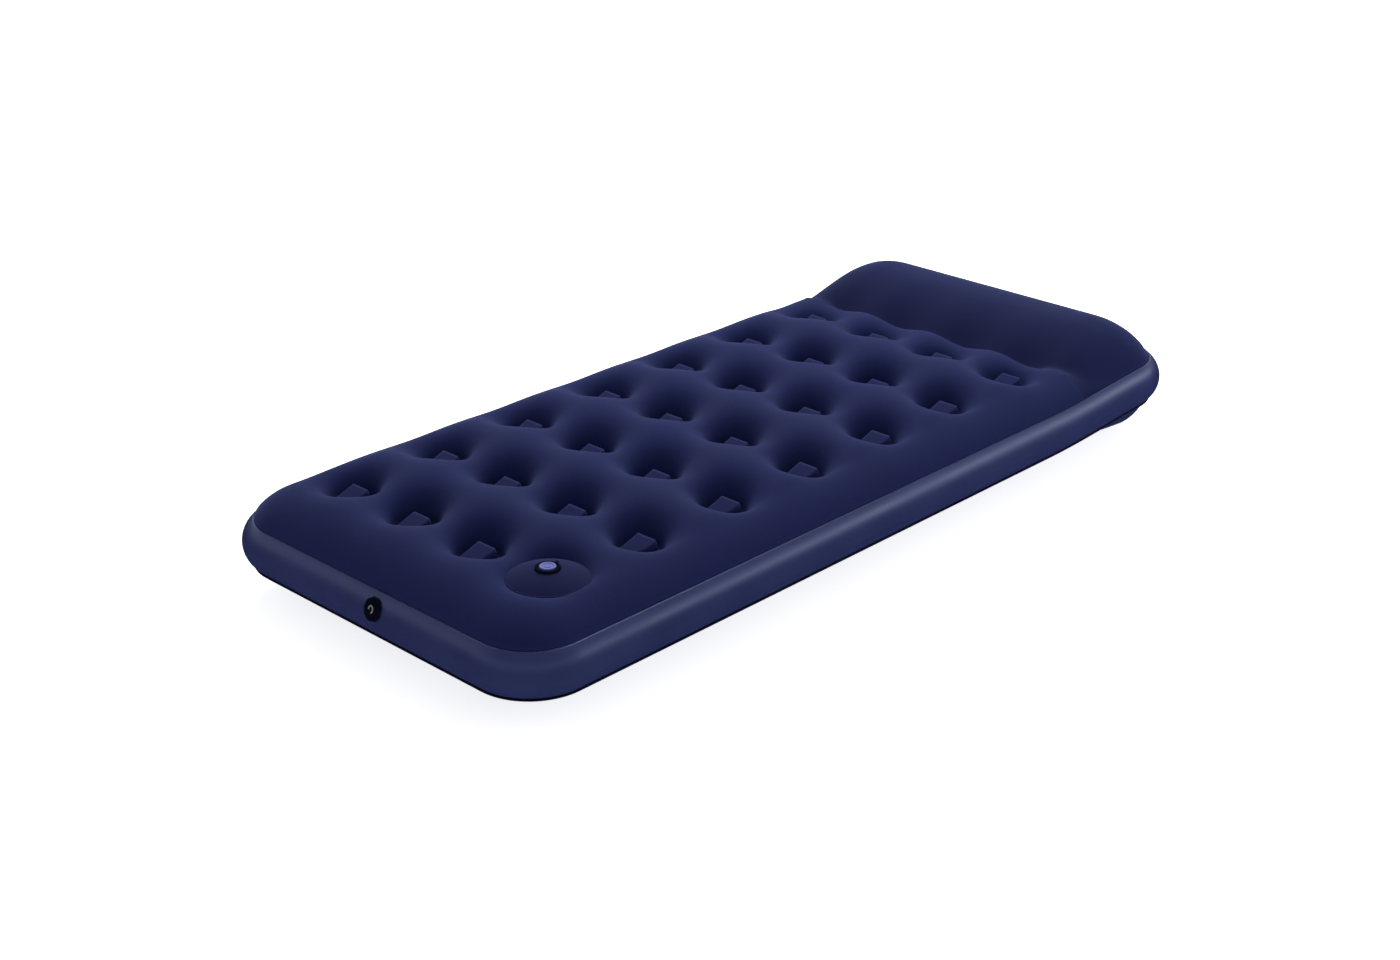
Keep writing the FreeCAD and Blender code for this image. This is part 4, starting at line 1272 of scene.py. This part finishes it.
def area_light(name, place, aim, size, power, colour=(1, 1, 1)):
    data = bpy.data.lights.new(name, "AREA")
    data.shape = "RECTANGLE"
    data.size, data.size_y = size
    data.energy = power
    data.color = colour
    light = bpy.data.objects.new(name, data)
    light.location = place
    light.rotation_euler = (Vector(aim) - Vector(place)).to_track_quat("-Z", "Y").to_euler()
    bpy.context.scene.collection.objects.link(light)


# brightness of the surroundings by how far up a direction points: 0 is level or below, 1 is straight up
BELT = ((0, 0.01), (0.06, 0.10), (0.24, 0.16), (0.36, 1.0), (0.46, 1.0), (0.60, 0.32), (1, 0.32))
BELT_TINT = (0.92, 0.95, 1.0)
BACKDROP = (0.92, 0.92, 0.93)
WORLD_STRENGTH = 1.18
FLOOR_GLOW = 0.78

CAMERA_PLACE = (2.4867, -2.7109, 1.6792)
CAMERA_DOWN = 24.06  # degrees below level
CAMERA_TURN = 43.73  # degrees left of straight along the bed
SENSOR_WIDTH = 36
LENS = 53.21


def studio_world():
    """A bright belt some way above the horizon, and a pale backdrop that only the camera sees."""
    world = bpy.data.worlds.new("studio")
    world.use_nodes = True
    studio = Tree(world.node_tree)
    direction = studio.node("ShaderNodeTexCoord", {}, {}, "Generated")
    height = studio.node("ShaderNodeSeparateXYZ", {}, {"Vector": direction}, "Z")
    stops = [(position, tinted(BELT_TINT, level)) for position, level in BELT]
    belt = studio.node("ShaderNodeValToRGB", {"stops": stops}, {"Fac": height}, "Color")
    seen = studio.node("ShaderNodeLightPath", {}, {}, "Is Camera Ray")
    sky = world.node_tree.nodes["Background"]
    studio.feed(sky.inputs["Color"], studio.shades(seen, belt, BACKDROP))
    sky.inputs["Strength"].default_value = WORLD_STRENGTH
    return world


class MATTRESS_OT_stage(bpy.types.Operator):
    """Set up the floor, the light and the camera"""
    bl_idname = "mattress.stage"
    bl_label = "Stage"

    def execute(self, context):
        scene = bpy.context.scene
        new_floor()
        scene.world = studio_world()
        area_light("overhead", (-2.2, 2.1, 4.0), (0, 0, 0.1), (3.4, 3.4), 300)
        area_light("side_soft", (2.7, 2.6, 1.5), (0.4, 0, 0.1), (3.0, 0.7), 34, (0.85, 0.9, 1.0))
        data = bpy.data.cameras.new("camera")
        data.sensor_width = SENSOR_WIDTH
        data.lens = LENS
        data.clip_end = FLOOR_REACH
        camera = bpy.data.objects.new("camera", data)
        camera.location = CAMERA_PLACE
        camera.rotation_euler = (math.radians(90 - CAMERA_DOWN), 0, math.radians(CAMERA_TURN))
        scene.collection.objects.link(camera)
        scene.camera = camera
        scene.view_settings.view_transform = "Standard"
        return {"FINISHED"}


class MATTRESS_PT_panel(bpy.types.Panel):
    """Lists the sizes, the colours and the steps that build the mattress"""
    bl_idname = "MATTRESS_PT_panel"
    bl_label = "Air mattress"
    bl_space_type = "VIEW_3D"
    bl_region_type = "UI"
    bl_category = "Air mattress"

    def draw(self, context):
        for group in (context.scene.mattress_sizes, context.scene.mattress_colours):
            for name in group.bl_rna.properties.keys():
                if name not in ("rna_type", "name"):
                    self.layout.prop(group, name)
        for step in STEPS:
            self.layout.operator(step.bl_idname)


STEPS = (
    MATTRESS_OT_stage,
    MATTRESS_OT_finishes,
    MATTRESS_OT_top_skin,
    MATTRESS_OT_side_band,
    MATTRESS_OT_bottom_skin,
    MATTRESS_OT_pillow_beam,
    MATTRESS_OT_seams,
    MATTRESS_OT_foot_pump,
    MATTRESS_OT_valve,
)
CLASSES = (MattressSizes, MattressColours, *STEPS, MATTRESS_PT_panel)


def register():
    for item in CLASSES:
        bpy.utils.register_class(item)
    bpy.types.Scene.mattress_sizes = PointerProperty(type=MattressSizes)
    bpy.types.Scene.mattress_colours = PointerProperty(type=MattressColours)


def unregister():
    del bpy.types.Scene.mattress_sizes
    del bpy.types.Scene.mattress_colours
    for item in reversed(CLASSES):
        bpy.utils.unregister_class(item)


def main():
    register()
    bpy.ops.mattress.stage()
    bpy.ops.mattress.finishes()
    bpy.ops.mattress.top_skin()
    bpy.ops.mattress.side_band()
    bpy.ops.mattress.bottom_skin()
    bpy.ops.mattress.pillow_beam()
    bpy.ops.mattress.seams()
    bpy.ops.mattress.foot_pump()
    bpy.ops.mattress.valve()


if __name__ == "__main__":
    main()
